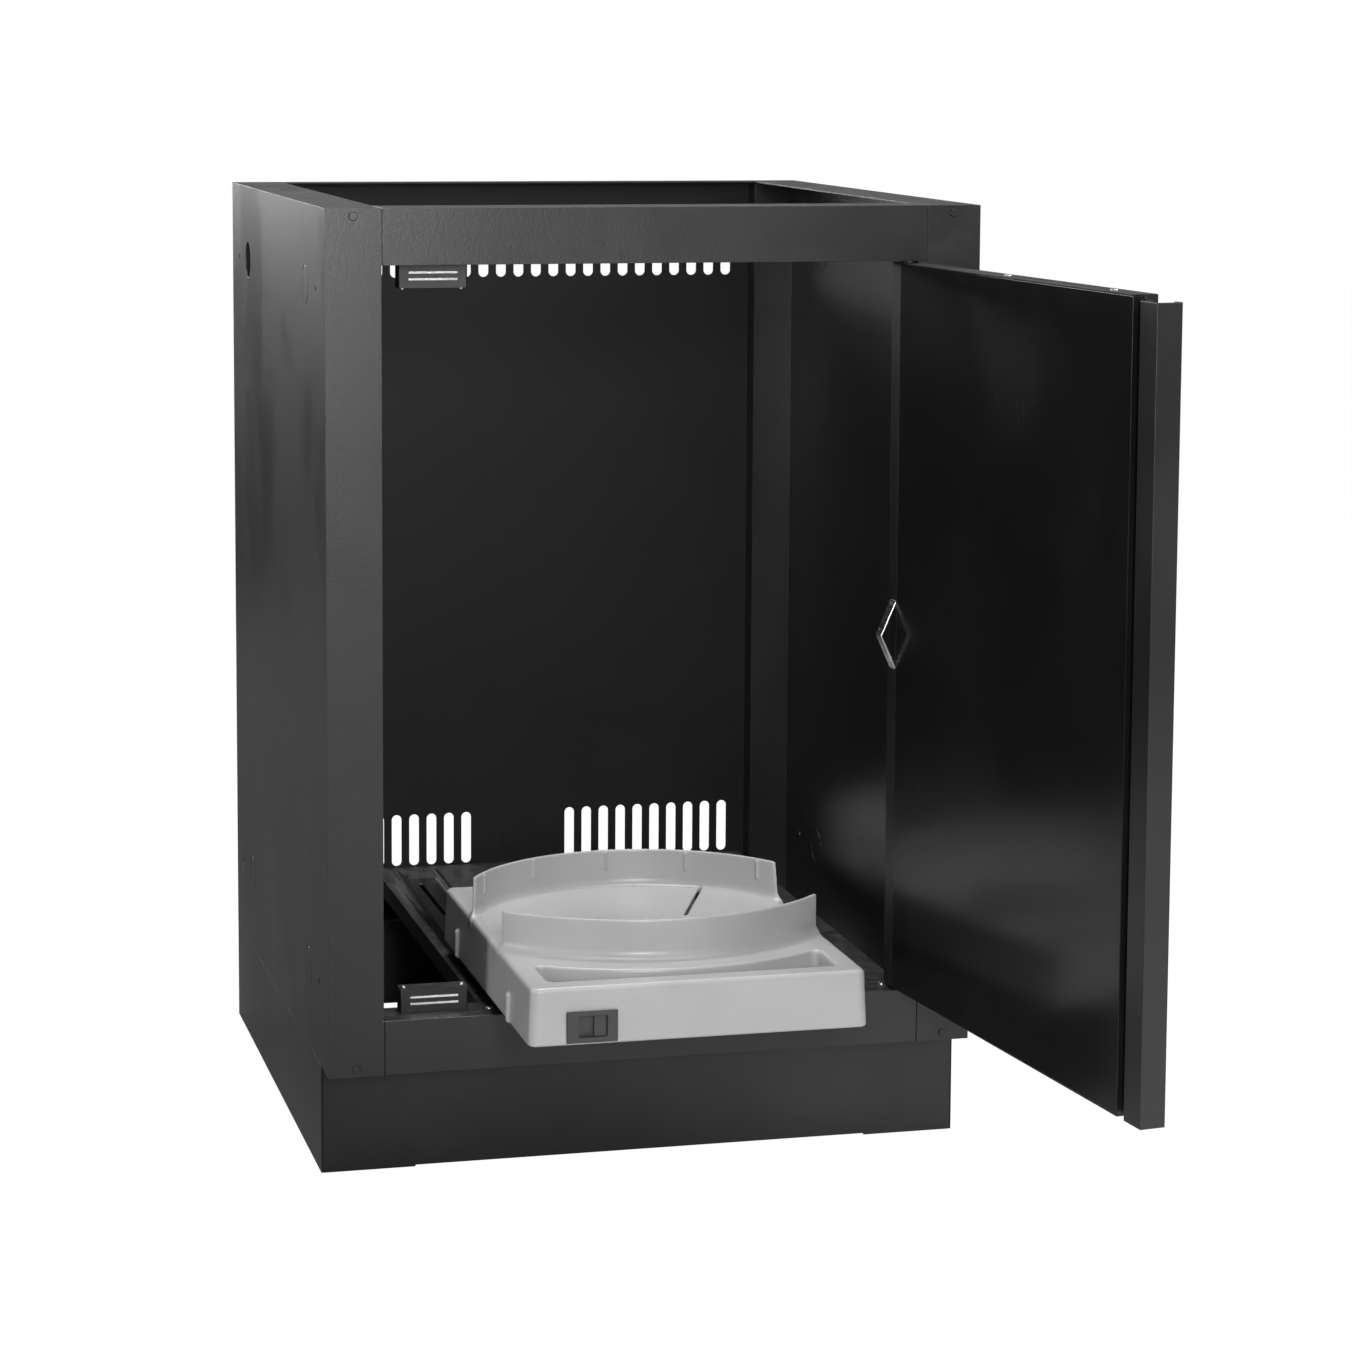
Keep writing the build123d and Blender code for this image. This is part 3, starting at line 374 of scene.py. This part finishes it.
@dataclass(frozen=True)
class Plated:
    """Plated or rolled metal.

    Fields: colour, roughness, depth of its rolling lines, and how metallic it is.
    """

    name: str
    colour: tuple[float, float, float, float]
    rough: float = 0.28
    lines: float = 0.12
    metal: float = 1.0

    def material(self, effects: Effects) -> bpy.types.Material:
        """Builds the metal.

        Args:
            effects: the shared node groups.

        Returns:
            The finished material.
        """
        made, tree, place = new_material(self.name)
        rolled = tree.group(effects.lines, {"Vector": place, "Scale": 700.0, "Stretch": 25.0})
        clouds = tree.group(effects.clouds, {"Vector": place, "Scale": 60.0, "Ripple Scale": 40.0})
        marks = tree.group(effects.scuffs, {"Vector": place, "Scale": 120.0, "Amount": 0.6})
        darker = tuple(c * 0.8 for c in self.colour[:3]) + (1.0,)
        tone = tree.blend(clouds.outputs["Patches"], darker, self.colour)
        tone = tree.blend(marks.outputs["Mask"], tone, tuple(c * 0.55 for c in self.colour[:3]) + (1.0,))
        rough = tree.math("ADD", tree.remap(rolled.outputs["Height"], 0.3, 0.7, self.rough - 0.06,
                                            self.rough + 0.06),
                          tree.math("MULTIPLY", marks.outputs["Mask"], 0.2), True)
        skin = tree.add("Bump", {"Strength": self.lines, "Distance": 0.0002,
                                 "Height": rolled.outputs["Height"]})
        shade = tree.add("BsdfPrincipled", {"Base Color": tone, "Roughness": rough,
                                            "Normal": skin.outputs[0], "Metallic": self.metal})
        tree.add("OutputMaterial", {"Surface": shade.outputs[0]})
        return made


class Finish(Enum):
    """Every finish on the cabinet, by the name of its slot in the record."""

    CARCASS = "black_powder_coat"
    DOOR = "door_coat"
    LINER = "gloss_liner"
    BLACK = "black_plastic"
    BRIGHT = "bright_steel"
    FERRITE = "ferrite"
    ZINC = "zinc_steel"
    FASTENER = "fastener_steel"
    TRAY = "grey_moulding"
    BEZEL = "dark_grey_plastic"


RECIPES: dict[Finish, Any] = {
    Finish.CARCASS: Coat("satin_black_coat", 0.012, 0.34, 0.45, 0.0005, 0.22),
    Finish.DOOR: Coat("door_black_coat", 0.010, 0.36, 0.08, 0.0005, 0.15),
    Finish.LINER: Coat("liner_gloss_black", 0.006, 0.24, 0.02, 0.0012, 0.10, shine=0.42),
    Finish.BLACK: Moulding("black_catch_plastic", grey(0.012), 0.45, 0.15, 0.3),
    Finish.BRIGHT: Plated("bright_plated_steel", grey(0.78), 0.22, 0.10),
    Finish.FERRITE: Plated("plated_magnet", grey(0.80), 0.45, 0.25, 0.2),
    Finish.ZINC: Plated("black_zinc_steel", grey(0.05, 0.01), 0.38, 0.15),
    Finish.FASTENER: Plated("plated_fastener", grey(0.68), 0.30, 0.06),
    Finish.TRAY: Moulding("light_grey_moulding", grey(0.42, 0.003), 0.34, 0.05, 0.35),
    Finish.BEZEL: Moulding("dark_grey_moulding", grey(0.042), 0.42, 0.10, 0.5),
}


# Nodes that get a darker copy of their slot's coat as painted shade: the back panel is darkened for the
# dim inside of the cabinet.
PAINTED_SHADE_COATS = {"back_panel": Coat("back_panel_painted_shade_coat", 0.008, 0.50, 0.35, 0.0003, 0.18, shine=0.2)}


class Wardrobe:
    """Makes each finish once and puts it on pieces."""

    def __init__(self, effects: Effects) -> None:
        """Builds every material.

        Args:
            effects: the shared node groups.
        """
        self.materials = {finish: RECIPES[finish].material(effects) for finish in Finish}
        self.painted_shade_coats = {node: coat.material(effects) for node, coat in PAINTED_SHADE_COATS.items()}
        parts = frame["record"]["subparts"]
        self.slot_of = {row["node"]: Finish(row["material_slot"]) for row in parts}

    def dress_node(self, name: str) -> None:
        """Puts a CAD node's finish, or the darker painted-shade copy of it, on all its slots.

        Args:
            name: the node.
        """
        piece = frame["nodes"][name]
        if not piece.material_slots:
            piece.data.materials.append(None)
        for slot in piece.material_slots:
            slot.material = self.painted_shade_coats.get(name, self.materials[self.slot_of[name]])
        log.info("dressed %s in %s", name, self.slot_of[name].value)

    def dress_piece(self, piece: bpy.types.Object, finish: Finish) -> None:
        """Puts a finish on a new piece.

        Args:
            piece: the piece.
            finish: its finish.
        """
        piece.data.materials.clear()
        piece.data.materials.append(self.materials[finish])


# ---------------------------------------------------------------- solid fields
def fillet_join(a: Field, b: Field, radius: float) -> Field:
    """Joins two solids with a hollow fillet where they meet.

    Args:
        a: distance to the first solid, negative inside it.
        b: distance to the second.
        radius: the fillet's radius.

    Returns:
        The distance to the joined solid.
    """
    reach = np.hypot(np.maximum(radius - a, 0), np.maximum(radius - b, 0))
    return np.maximum(radius, np.minimum(a, b)) - reach


def round_common(a: Field, b: Field, radius: float) -> Field:
    """What two solids have in common, with the edge rounded where their faces meet.

    Args:
        a: distance to the first solid, negative inside it.
        b: distance to the second.
        radius: the edge's radius.

    Returns:
        The distance to the common solid.
    """
    reach = np.hypot(np.maximum(a + radius, 0), np.maximum(b + radius, 0))
    return np.minimum(-radius, np.maximum(a, b)) + reach


def rectangle(x: Field, y: Field, half_x: Any, half_y: Any, radius: float) -> Field:
    """Distance to a rectangle with round corners, centred on zero.

    Args:
        x: first coordinate.
        y: second coordinate.
        half_x: half of its width.
        half_y: half of its depth.
        radius: radius of its corners.

    Returns:
        The distance, negative inside.
    """
    qx, qy = np.abs(x) - half_x + radius, np.abs(y) - half_y + radius
    return np.hypot(np.maximum(qx, 0), np.maximum(qy, 0)) + np.minimum(np.maximum(qx, qy), 0) - radius


class FieldMesher:
    """Turns a solid field on a regular grid into a mesh with smooth normals."""

    def __init__(self, low: Sequence[float], high: Sequence[float], step: float) -> None:
        """Lays out the grid.

        Args:
            low: lowest corner, in millimetres.
            high: highest corner.
            step: spacing of the grid.
        """
        self.low, self.step = np.array(low, float), step
        self.axes = [np.arange(a, b + step, step, dtype=np.float32) for a, b in zip(low, high)]
        self.x = self.axes[0][:, None, None]
        self.y = self.axes[1][None, :, None]
        self.z = self.axes[2][None, None, :]

    def _points(self, field: Field) -> tuple[np.ndarray, np.ndarray]:
        """Finds one point in each cell that the surface crosses.

        Args:
            field: the solid's field on the grid.

        Returns:
            Each cell's point number, or -1, and the points in grid steps.
        """
        inside = field < 0
        count = np.zeros([n - 1 for n in field.shape], np.uint8)
        corners = [(i, j, k) for i in (0, 1) for j in (0, 1) for k in (0, 1)]
        a, b, c = count.shape
        for i, j, k in corners:
            count += inside[i:i + a, j:j + b, k:k + c]
        cells = np.argwhere((count > 0) & (count < 8))
        number = np.full(count.shape, -1, np.int64)
        number[tuple(cells.T)] = np.arange(len(cells))
        value = {o: field[tuple((cells + o).T)].astype(float) for o in corners}
        total, hits = np.zeros((len(cells), 3)), np.zeros(len(cells))
        for p in corners:
            for axis in range(3):
                if p[axis]:
                    continue
                q = tuple(1 if n == axis else p[n] for n in range(3))
                crossed = (value[p] < 0) != (value[q] < 0)
                share = np.where(crossed, value[p] / np.where(crossed, value[p] - value[q], 1), 0)
                spot = np.tile(np.array(p, float), (len(cells), 1))
                spot[:, axis] += share
                total += spot * crossed[:, None]
                hits += crossed
        return number, cells + total / hits[:, None]

    @staticmethod
    def _faces(field: Field, number: np.ndarray) -> np.ndarray:
        """Four cells' points around each grid edge that the surface crosses.

        Args:
            field: the solid's field on the grid.
            number: each cell's point number.

        Returns:
            The faces, four point numbers each, turned outward.
        """
        inside, faces = field < 0, []
        for axis in range(3):
            one, two = [n for n in range(3) if n != axis]
            lower = [slice(1, -1)] * 3
            upper = [slice(1, -1)] * 3
            lower[axis], upper[axis] = slice(0, -1), slice(1, None)
            here, there = inside[tuple(lower)], inside[tuple(upper)]
            spots = np.argwhere(here != there)
            start = here[tuple(spots.T)]
            spots[:, one] += 1
            spots[:, two] += 1
            ring = []
            for back_one, back_two in ((1, 1), (0, 1), (0, 0), (1, 0)):
                cell = spots.copy()
                cell[:, one] -= back_one
                cell[:, two] -= back_two
                ring.append(number[tuple(cell.T)])
            quad = np.stack(ring, 1)
            turned = start if axis != 1 else ~start
            quad[~turned] = quad[~turned][:, ::-1]
            faces.append(quad)
        return np.concatenate(faces)

    def _slope(self, field: Field, points: np.ndarray) -> np.ndarray:
        """The field's direction of growth at some points, which is the surface's normal.

        Args:
            field: the solid's field on the grid.
            points: points in grid steps.

        Returns:
            One unit vector per point.
        """
        normals = np.zeros((len(points), 3))
        for axis in range(3):
            for sign in (-1, 1):
                at = points.copy()
                at[:, axis] += sign * 0.7
                at = np.clip(at, 0, np.array(field.shape) - 1.001)
                base = np.floor(at).astype(int)
                part = at - base
                total = np.zeros(len(points))
                for i in (0, 1):
                    for j in (0, 1):
                        for k in (0, 1):
                            weight = (np.where(i, part[:, 0], 1 - part[:, 0])
                                      * np.where(j, part[:, 1], 1 - part[:, 1])
                                      * np.where(k, part[:, 2], 1 - part[:, 2]))
                            total += weight * field[base[:, 0] + i, base[:, 1] + j, base[:, 2] + k]
                normals[:, axis] += sign * total
        return normals / np.maximum(np.linalg.norm(normals, axis=1), 1e-9)[:, None]

    def mesh(self, field: Field, name: str, keep: float) -> bpy.types.Object:
        """Makes the piece.

        Args:
            field: the solid's field on the grid.
            name: the piece's name.
            keep: share of the faces to keep when flat areas are thinned out.

        Returns:
            The new object, in metres.
        """
        number, points = self._points(field)
        faces = self._faces(field, number)
        data = bpy.data.meshes.new(name)
        data.from_pydata((((points * self.step) + self.low) * MM).tolist(), [], faces.tolist())
        piece = bpy.data.objects.new(name, data)
        bpy.context.scene.collection.objects.link(piece)
        thin = piece.modifiers.new("thin", "DECIMATE")
        thin.ratio = keep
        bpy.context.view_layer.update()
        graph = bpy.context.evaluated_depsgraph_get()
        light = bpy.data.meshes.new_from_object(piece.evaluated_get(graph))
        piece.modifiers.clear()
        piece.data = light
        light.name = name
        spots = np.zeros(len(light.vertices) * 3)
        light.vertices.foreach_get("co", spots)
        spots = (spots.reshape(-1, 3) / MM - self.low) / self.step
        light.shade_smooth()
        light.normals_split_custom_set_from_vertices(self._slope(field, spots).tolist())
        log.info("%s has %d faces", name, len(light.polygons))
        return piece


# ---------------------------------------------------------------- sub-assemblies
@dataclass
class BottleTray:
    """The moulded pull-out tray with its bottle ring, sizes in millimetres."""

    wardrobe: Wardrobe
    width: float = 300.0
    length: float = 393.0
    wall: float = 3.0
    draft: float = 2.0
    corner: float = 8.0
    top_edge: float = 4.0
    ring_radius: float = 167.0
    ring_wall: float = 3.5
    front_radius: float = 196.0
    front_behind: float = 76.0
    ring_side: float = 3.0
    gap_front: float = 53.0
    gap_back: float = 74.0
    gap_slope: float = 6.0
    cove: float = 8.0
    seat: float = 1.0
    seat_gap: float = 5.5
    seat_side: float = 6.0
    grip_front: float = 22.0
    grip_radius: float = 230.0
    grip_half: float = 130.0
    grip_depth: float = 38.0
    grip_rim: float = 2.5
    rib_wall: float = 3.0
    ribs_along: tuple[float, ...] = (-130.0, -114.0, 114.0, 130.0)
    ribs_across: tuple[float, ...] = (-70.0, 20.0, 110.0)
    ribs_start: float = 110.0
    ribs_reach: float = 112.0
    low_rib: float = 12.0
    mark_turn: float = 27.0
    mark_half: float = 1.0
    mark_depth: float = 1.7
    mark_tall: float = 18.0
    mark_below: float = 11.0
    lug_radius: float = 4.5
    lug_top: float = 26.0
    lugs_back: tuple[float, ...] = (87.0, 323.0)
    slot_turn: float = 68.0
    slot_x: float = 66.0
    slot_y: float = 84.0
    slot_half: float = 54.5
    slot_wide: float = 3.0
    slot_depth: float = 8.0
    window_lap: float = 2.5
    window_depth: float = 8.0
    step: float = 1.5
    kept_faces: float = 0.42

    def _places(self) -> None:
        """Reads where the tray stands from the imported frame."""
        low, high = (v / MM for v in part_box("tray_base"))
        wall_low, wall_high = (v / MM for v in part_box("ring_rear_wall"))
        self.floor_z = low.z
        self.deck = wall_low.z
        self.top = wall_high.z
        self.front = low.y + (self.deck - low.z) * math.tan(math.radians(self.draft))
        self.middle = self.front + self.length / 2
        self.ring_y = wall_high.y - self.ring_radius
        self.front_y = self.ring_y + self.front_behind
        self.low, self.high = low, high
        self.high.z = self.top

    def _body(self, g: FieldMesher) -> Field:
        """The drafted box.

        Args:
            g: the grid.

        Returns:
            The field of the outside.
        """
        lean = (self.deck - g.z) * math.tan(math.radians(self.draft))
        plan = rectangle(g.x, g.y - self.middle, self.width / 2 + lean, self.length / 2 + lean,
                         self.corner)
        rounded = round_common(plan, g.z - self.deck + 0 * g.x, self.top_edge)
        return np.maximum(rounded, self.floor_z - g.z)

    def _hollow(self, g: FieldMesher) -> Field:
        """The underside's hollow, with its ribs left standing.

        Args:
            g: the grid.

        Returns:
            The field of what is taken away.
        """
        plan = rectangle(g.x, g.y - self.middle, self.width / 2 - self.wall,
                         self.length / 2 - self.wall, self.corner - self.wall)
        room = np.maximum(plan + 0 * g.z, g.z - self.deck + self.wall)
        ribs = np.full_like(room, 1e3)
        half = self.rib_wall / 2
        for x in self.ribs_along:
            along = np.maximum(np.abs(g.x - x) - half, self.ring_y - self.ribs_start - g.y)
            ribs = np.minimum(ribs, along)
        for y in self.ribs_across:
            cross = np.maximum(np.abs(g.y - self.ring_y - y) - half, np.abs(g.x) - self.ribs_reach)
            ribs = np.minimum(ribs, np.maximum(cross, self.floor_z + self.low_rib - g.z))
        return np.maximum(room, -ribs)

    def _pocket(self, g: FieldMesher, grow: float) -> Field:
        """The grip recess, or its walls when it is grown.

        Args:
            g: the grid.
            grow: how far it is grown.

        Returns:
            The field of the recess.
        """
        front = (self.front + self.grip_front) - g.y
        back = self.grip_radius - np.hypot(g.x, g.y - self.front_y)
        sides = np.abs(g.x) - self.grip_half
        plan = round_common(round_common(front, back, 5.0), sides, 9.0)
        plan = np.maximum(plan, g.y - self.front_y)
        return round_common(plan - grow, self.deck - self.grip_depth - grow - g.z, 5.0 + grow)

    def _ring(self, g: FieldMesher) -> Field:
        """Both walls of the bottle ring, with the gaps between them and the small inner ribs.

        Args:
            g: the grid.

        Returns:
            The field of the walls, standing on the deck.
        """
        half = self.ring_wall / 2
        away = np.hypot(g.x, g.y - self.ring_y)
        skin = np.abs(away - self.ring_radius + half) - half
        slope = self.gap_slope / (self.top - self.deck)
        edge = self.ring_y + self.gap_back + (g.z - self.deck) * slope - g.y
        edge = edge / math.hypot(1, slope)
        sides = np.abs(g.x) - self.width / 2 + self.ring_side
        rear = round_common(skin, np.maximum(edge + 0 * g.x, sides + 0 * g.z), 1.4)
        for turn in range(-2, 3):
            a = math.radians(90 + turn * self.mark_turn)
            along = g.x * math.cos(a) + (g.y - self.ring_y) * math.sin(a)
            across = -g.x * math.sin(a) + (g.y - self.ring_y) * math.cos(a)
            rib = np.maximum(np.abs(along - self.ring_radius + self.ring_wall + 0.5)
                             - self.mark_depth, np.abs(across) - self.mark_half)
            rib = np.maximum(rib, np.abs(g.z - self.top + self.mark_below) - self.mark_tall / 2)
            rear = fillet_join(rear, rib, 0.8)
        front_skin = np.abs(np.hypot(g.x, g.y - self.front_y) - self.front_radius + half) - half
        front = round_common(front_skin, np.maximum(g.y - self.ring_y + self.gap_front, sides), 1.6)
        both = fillet_join(rear, front + 0 * g.z, 4.0)
        return round_common(both, g.z - self.top + 0 * g.x, 1.5)

    def _extras(self, g: FieldMesher, solid: Field) -> Field:
        """Adds the bottle seat, the lugs, the strap slot and the latch window.

        Args:
            g: the grid.
            solid: the tray so far.

        Returns:
            The whole tray.
        """
        away = np.hypot(g.x, g.y - self.ring_y) - (self.ring_radius - self.ring_wall - self.seat_gap)
        front = np.hypot(g.x, g.y - self.front_y) - (self.front_radius - self.ring_wall - self.seat_gap)
        away = np.maximum(np.maximum(away, front), np.abs(g.x) - self.width / 2 + self.seat_side)
        seat = round_common(away + 0 * g.z, g.z - self.deck - self.seat + 0 * g.x, 0.8)
        solid = fillet_join(solid, np.maximum(seat, self.deck - 2 - g.z), 1.0)
        for side in (-1, 1):
            for back in self.lugs_back:
                x, y = side * (self.width / 2), self.front + back
                lug = np.hypot(g.x - x, g.y - y) - self.lug_radius
                lug = round_common(lug + 0 * g.z, g.z - self.floor_z - self.lug_top + 0 * g.x, 1.5)
                solid = fillet_join(solid, np.maximum(lug, self.floor_z - g.z), 1.5)
        turn = math.radians(self.slot_turn)
        x, y = g.x - self.slot_x, g.y - self.ring_y - self.slot_y
        u = x * math.cos(turn) + y * math.sin(turn)
        v = -x * math.sin(turn) + y * math.cos(turn)
        slot = np.hypot(np.maximum(np.abs(u) - self.slot_half, 0), v) - self.slot_wide / 2
        solid = np.maximum(solid, -np.maximum(slot + 0 * g.z, self.deck - self.slot_depth - g.z))
        low, high = (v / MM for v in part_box("latch_bezel"))
        lap = self.window_lap
        window = np.maximum(np.abs(g.x - (low.x + high.x) / 2) - (high.x - low.x) / 2 + lap,
                            np.abs(g.z - (low.z + high.z) / 2) - (high.z - low.z) / 2 + lap)
        window = np.maximum(window + 0 * g.y, g.y - self.front - self.window_depth + 0 * g.x)
        return np.maximum(solid, -window)

    def build(self) -> bpy.types.Object:
        """Builds the seamless moulding that stands for the tray's three CAD nodes.

        Returns:
            The tray.
        """
        self._places()
        pad = 4 * self.step
        low = [self.low.x - pad, self.low.y - pad, self.floor_z - pad]
        high = [self.high.x + pad, self.high.y + pad, self.top + pad]
        g = FieldMesher(low, high, self.step)
        solid = self._body(g)
        solid = np.maximum(solid, -self._hollow(g))
        wall = np.maximum(self._pocket(g, self.wall), g.z - self.deck + 1)
        solid = np.minimum(solid, wall)
        solid = round_common(solid, -self._pocket(g, 0.0), self.grip_rim)
        ring = np.maximum(self._ring(g), self.deck - self.wall + 0.5 - g.z)
        solid = fillet_join(solid, ring, self.cove)
        solid = self._extras(g, solid)
        piece = g.mesh(solid.astype(np.float32), "tray_moulding", self.kept_faces)
        self.wardrobe.dress_piece(piece, Finish.TRAY)
        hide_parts("tray_base", "ring_rear_wall", "ring_front_wall")
        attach(piece, "tray")
        return piece


class Softener:
    """Breaks the hard edges of CAD nodes, with modifiers that leave their meshes alone."""

    USUAL = 0.7
    WIDTHS = {"rivets": 0.2, "screws": 0.2, "catch_housing": 0.9, "latch_bezel": 0.8, "poles": 0.2,
              "magnet": 0.3, "pin": 0.2, "bush": 0.2}

    @classmethod
    def soften(cls, piece: bpy.types.Object, name: str) -> None:
        """Adds a small rounded edge.

        Args:
            piece: the CAD node's object.
            name: its name, which decides the width.
        """
        width = next((w for key, w in cls.WIDTHS.items() if key in name), cls.USUAL)
        weld = piece.modifiers.new("weld", "WELD")
        weld.merge_threshold = 1e-5
        edge = piece.modifiers.new("edge", "BEVEL")
        edge.width = width * MM
        edge.segments = 2
        edge.limit_method = "ANGLE"
        edge.angle_limit = math.radians(40)
        edge.use_clamp_overlap = True
        edge.harden_normals = True


@dataclass
class DressedBodies:
    """Bodies that keep their CAD shape and get finishes and softened edges."""

    wardrobe: Wardrobe
    bodies: tuple[str, ...] = ()

    def build(self) -> None:
        """Dresses every node of its bodies."""
        for body in self.bodies:
            for name in sorted(frame["record"]["behaviour"]["bodies"][body]):
                self.wardrobe.dress_node(name)
                Softener.soften(frame["nodes"][name], name)


@dataclass
class Carcass(DressedBodies):
    """The folded-steel body, its plinth, floor plate, fasteners and catches."""

    bodies: tuple[str, ...] = ("cabinet",)


@dataclass
class DoorLeaf(DressedBodies):
    """The hinged door with its liner, rivets and hose guide."""

    bodies: tuple[str, ...] = ("door",)


@dataclass
class Runners(DressedBodies):
    """The telescopic slides and the tray's latch."""

    bodies: tuple[str, ...] = ("slide_stage_left", "slide_stage_right", "tray", "latch_slider",
                               "latch_bolt")


@dataclass(frozen=True)
class Lamp:
    """A soft rectangular lamp: its place, the point it faces, its width and height, and its watts."""

    name: str
    place: tuple[float, float, float]
    aim: tuple[float, float, float]
    size: tuple[float, float]
    power: float

    def stand(self) -> None:
        """Adds the lamp to the scene."""
        data = bpy.data.lights.new(self.name, "AREA")
        data.shape, data.energy = "RECTANGLE", self.power
        data.size, data.size_y = self.size
        lamp = bpy.data.objects.new(self.name, data)
        lamp.location = self.place
        lamp.visible_camera = False
        ahead = Vector(self.aim) - Vector(self.place)
        lamp.rotation_euler = ahead.to_track_quat("-Z", "Y").to_euler()
        bpy.context.scene.collection.objects.link(lamp)


LAMPS = (
    Lamp("key", (-0.32, -3.0, 1.15), (-0.28, -0.3, 0.7), (0.35, 0.9), 46),
    Lamp("edge", (-3.0, -1.0, 1.1), (-0.3, -0.3, 0.6), (0.5, 1.4), 28),
    Lamp("tray", (0.30, -2.0, 1.9), (0.0, -0.4, 0.2), (0.8, 0.8), 5),
    Lamp("top", (0.0, 0.15, 2.6), (0.0, 0.0, 0.0), (1.1, 1.1), 60),
    Lamp("rear_left", (-1.5, 3.0, 1.5), (-0.3, 0.0, 0.9), (2.0, 1.2), 75),
    Lamp("right", (2.2, -1.8, 2.0), (0.4, -0.6, 0.0), (1.2, 1.2), 40),
)


@dataclass
class Studio:
    """Pale floor, soft lights and the camera, sizes in metres."""

    camera_place: tuple[float, float, float] = (-0.78884, -3.44549, 1.01677)
    turned: float = 14.3764
    tilted: float = 6.6848
    rolled: float = 0.3485
    lens: float = 97.056
    shift: float = -0.1501
    backdrop_seen: float = 1.0
    backdrop_lit: float = 0.16
    floor_half: float = 14.0
    floor_glow: float = 1.04
    floor_glow_share: float = 0.95

    def _camera(self) -> None:
        """Sets up the camera with its small rise."""
        data = bpy.data.cameras.new("camera")
        camera = bpy.data.objects.new("camera", data)
        bpy.context.scene.collection.objects.link(camera)
        yaw, pitch, roll = (math.radians(v) for v in (self.turned, self.tilted, self.rolled))
        level = Vector((math.sin(yaw), math.cos(yaw), 0))
        side = Vector((math.cos(yaw), -math.sin(yaw), 0))
        ahead = level * math.cos(pitch) - Vector((0, 0, 1)) * math.sin(pitch)
        top = Vector((0, 0, 1)) * math.cos(pitch) + level * math.sin(pitch)
        right = side * math.cos(roll) + top * math.sin(roll)
        up = top * math.cos(roll) - side * math.sin(roll)
        turn = Matrix((right, up, -ahead)).transposed().to_4x4()
        camera.matrix_world = Matrix.Translation(Vector(self.camera_place)) @ turn
        data.lens, data.sensor_width = self.lens, 36.0
        data.shift_y = self.shift
        data.clip_start, data.clip_end = 0.1, 60.0
        bpy.context.scene.camera = camera

    @staticmethod
    def _world(seen: float, lit: float) -> None:
        """A white backdrop that lights the scene only gently.

        Args:
            seen: how bright the backdrop looks.
            lit: how bright it is as a light.
        """
        world = bpy.data.worlds.new("studio")
        bpy.context.scene.world = world
        world.use_nodes = True
        tree = Tree(world.node_tree)
        straight = tree.add("LightPath").outputs["Is Camera Ray"]
        tone = tree.blend(straight, grey(lit), grey(seen))
        back = tree.add("Background", {"Color": tone})
        tree.add("OutputWorld", {"Surface": back.outputs[0]})

    def _floor(self) -> None:
        """A wide pale floor that only keeps a trace of shadow, and to all but the camera a painted light
        pool: dark at the left, bright at the right.
        """
        half = self.floor_half
        data = bpy.data.meshes.new("floor")
        data.from_pydata([(-half, -half, 0), (half, -half, 0), (half, half, 0), (-half, half, 0)], [],
                         [(0, 1, 2, 3)])
        floor = bpy.data.objects.new("floor", data)
        bpy.context.scene.collection.objects.link(floor)
        made, tree, place = new_material("pale_floor")
        # Painted light pool: the colour that reflections and bounce light see runs from dark at the
        # floor's left to bright at its right.
        across = tree.add("SeparateXYZ", {0: place}).outputs["X"]
        painted_light_pool = tree.blend(tree.remap(across, -0.45, 0.15, 0.0, 1.0), grey(0.10), grey(0.80))
        paint = tree.add("BsdfDiffuse", {"Color": painted_light_pool})
        glow = tree.add("Emission", {"Color": grey(1.0), "Strength": self.floor_glow})
        straight = tree.add("LightPath").outputs["Is Camera Ray"]
        share = tree.math("MULTIPLY", straight, self.floor_glow_share)
        mixed = tree.add("MixShader", {0: share, 1: paint.outputs[0], 2: glow.outputs[0]})
        tree.add("OutputMaterial", {"Surface": mixed.outputs[0]})
        data.materials.append(made)

    def build(self) -> None:
        """Puts up the whole studio."""
        self._camera()
        self._floor()
        self._world(self.backdrop_seen, self.backdrop_lit)
        for lamp in LAMPS:
            lamp.stand()
        bpy.context.scene.view_settings.view_transform = "Standard"


def main() -> None:
    """Builds the studio and dresses the cabinet, sub-assembly by sub-assembly."""
    logging.basicConfig(level=logging.INFO, format="%(message)s")
    Studio().build()
    wardrobe = Wardrobe(Effects())
    Carcass(wardrobe).build()
    DoorLeaf(wardrobe).build()
    Runners(wardrobe).build()
    BottleTray(wardrobe).build()


if __name__ == "__main__":
    main()
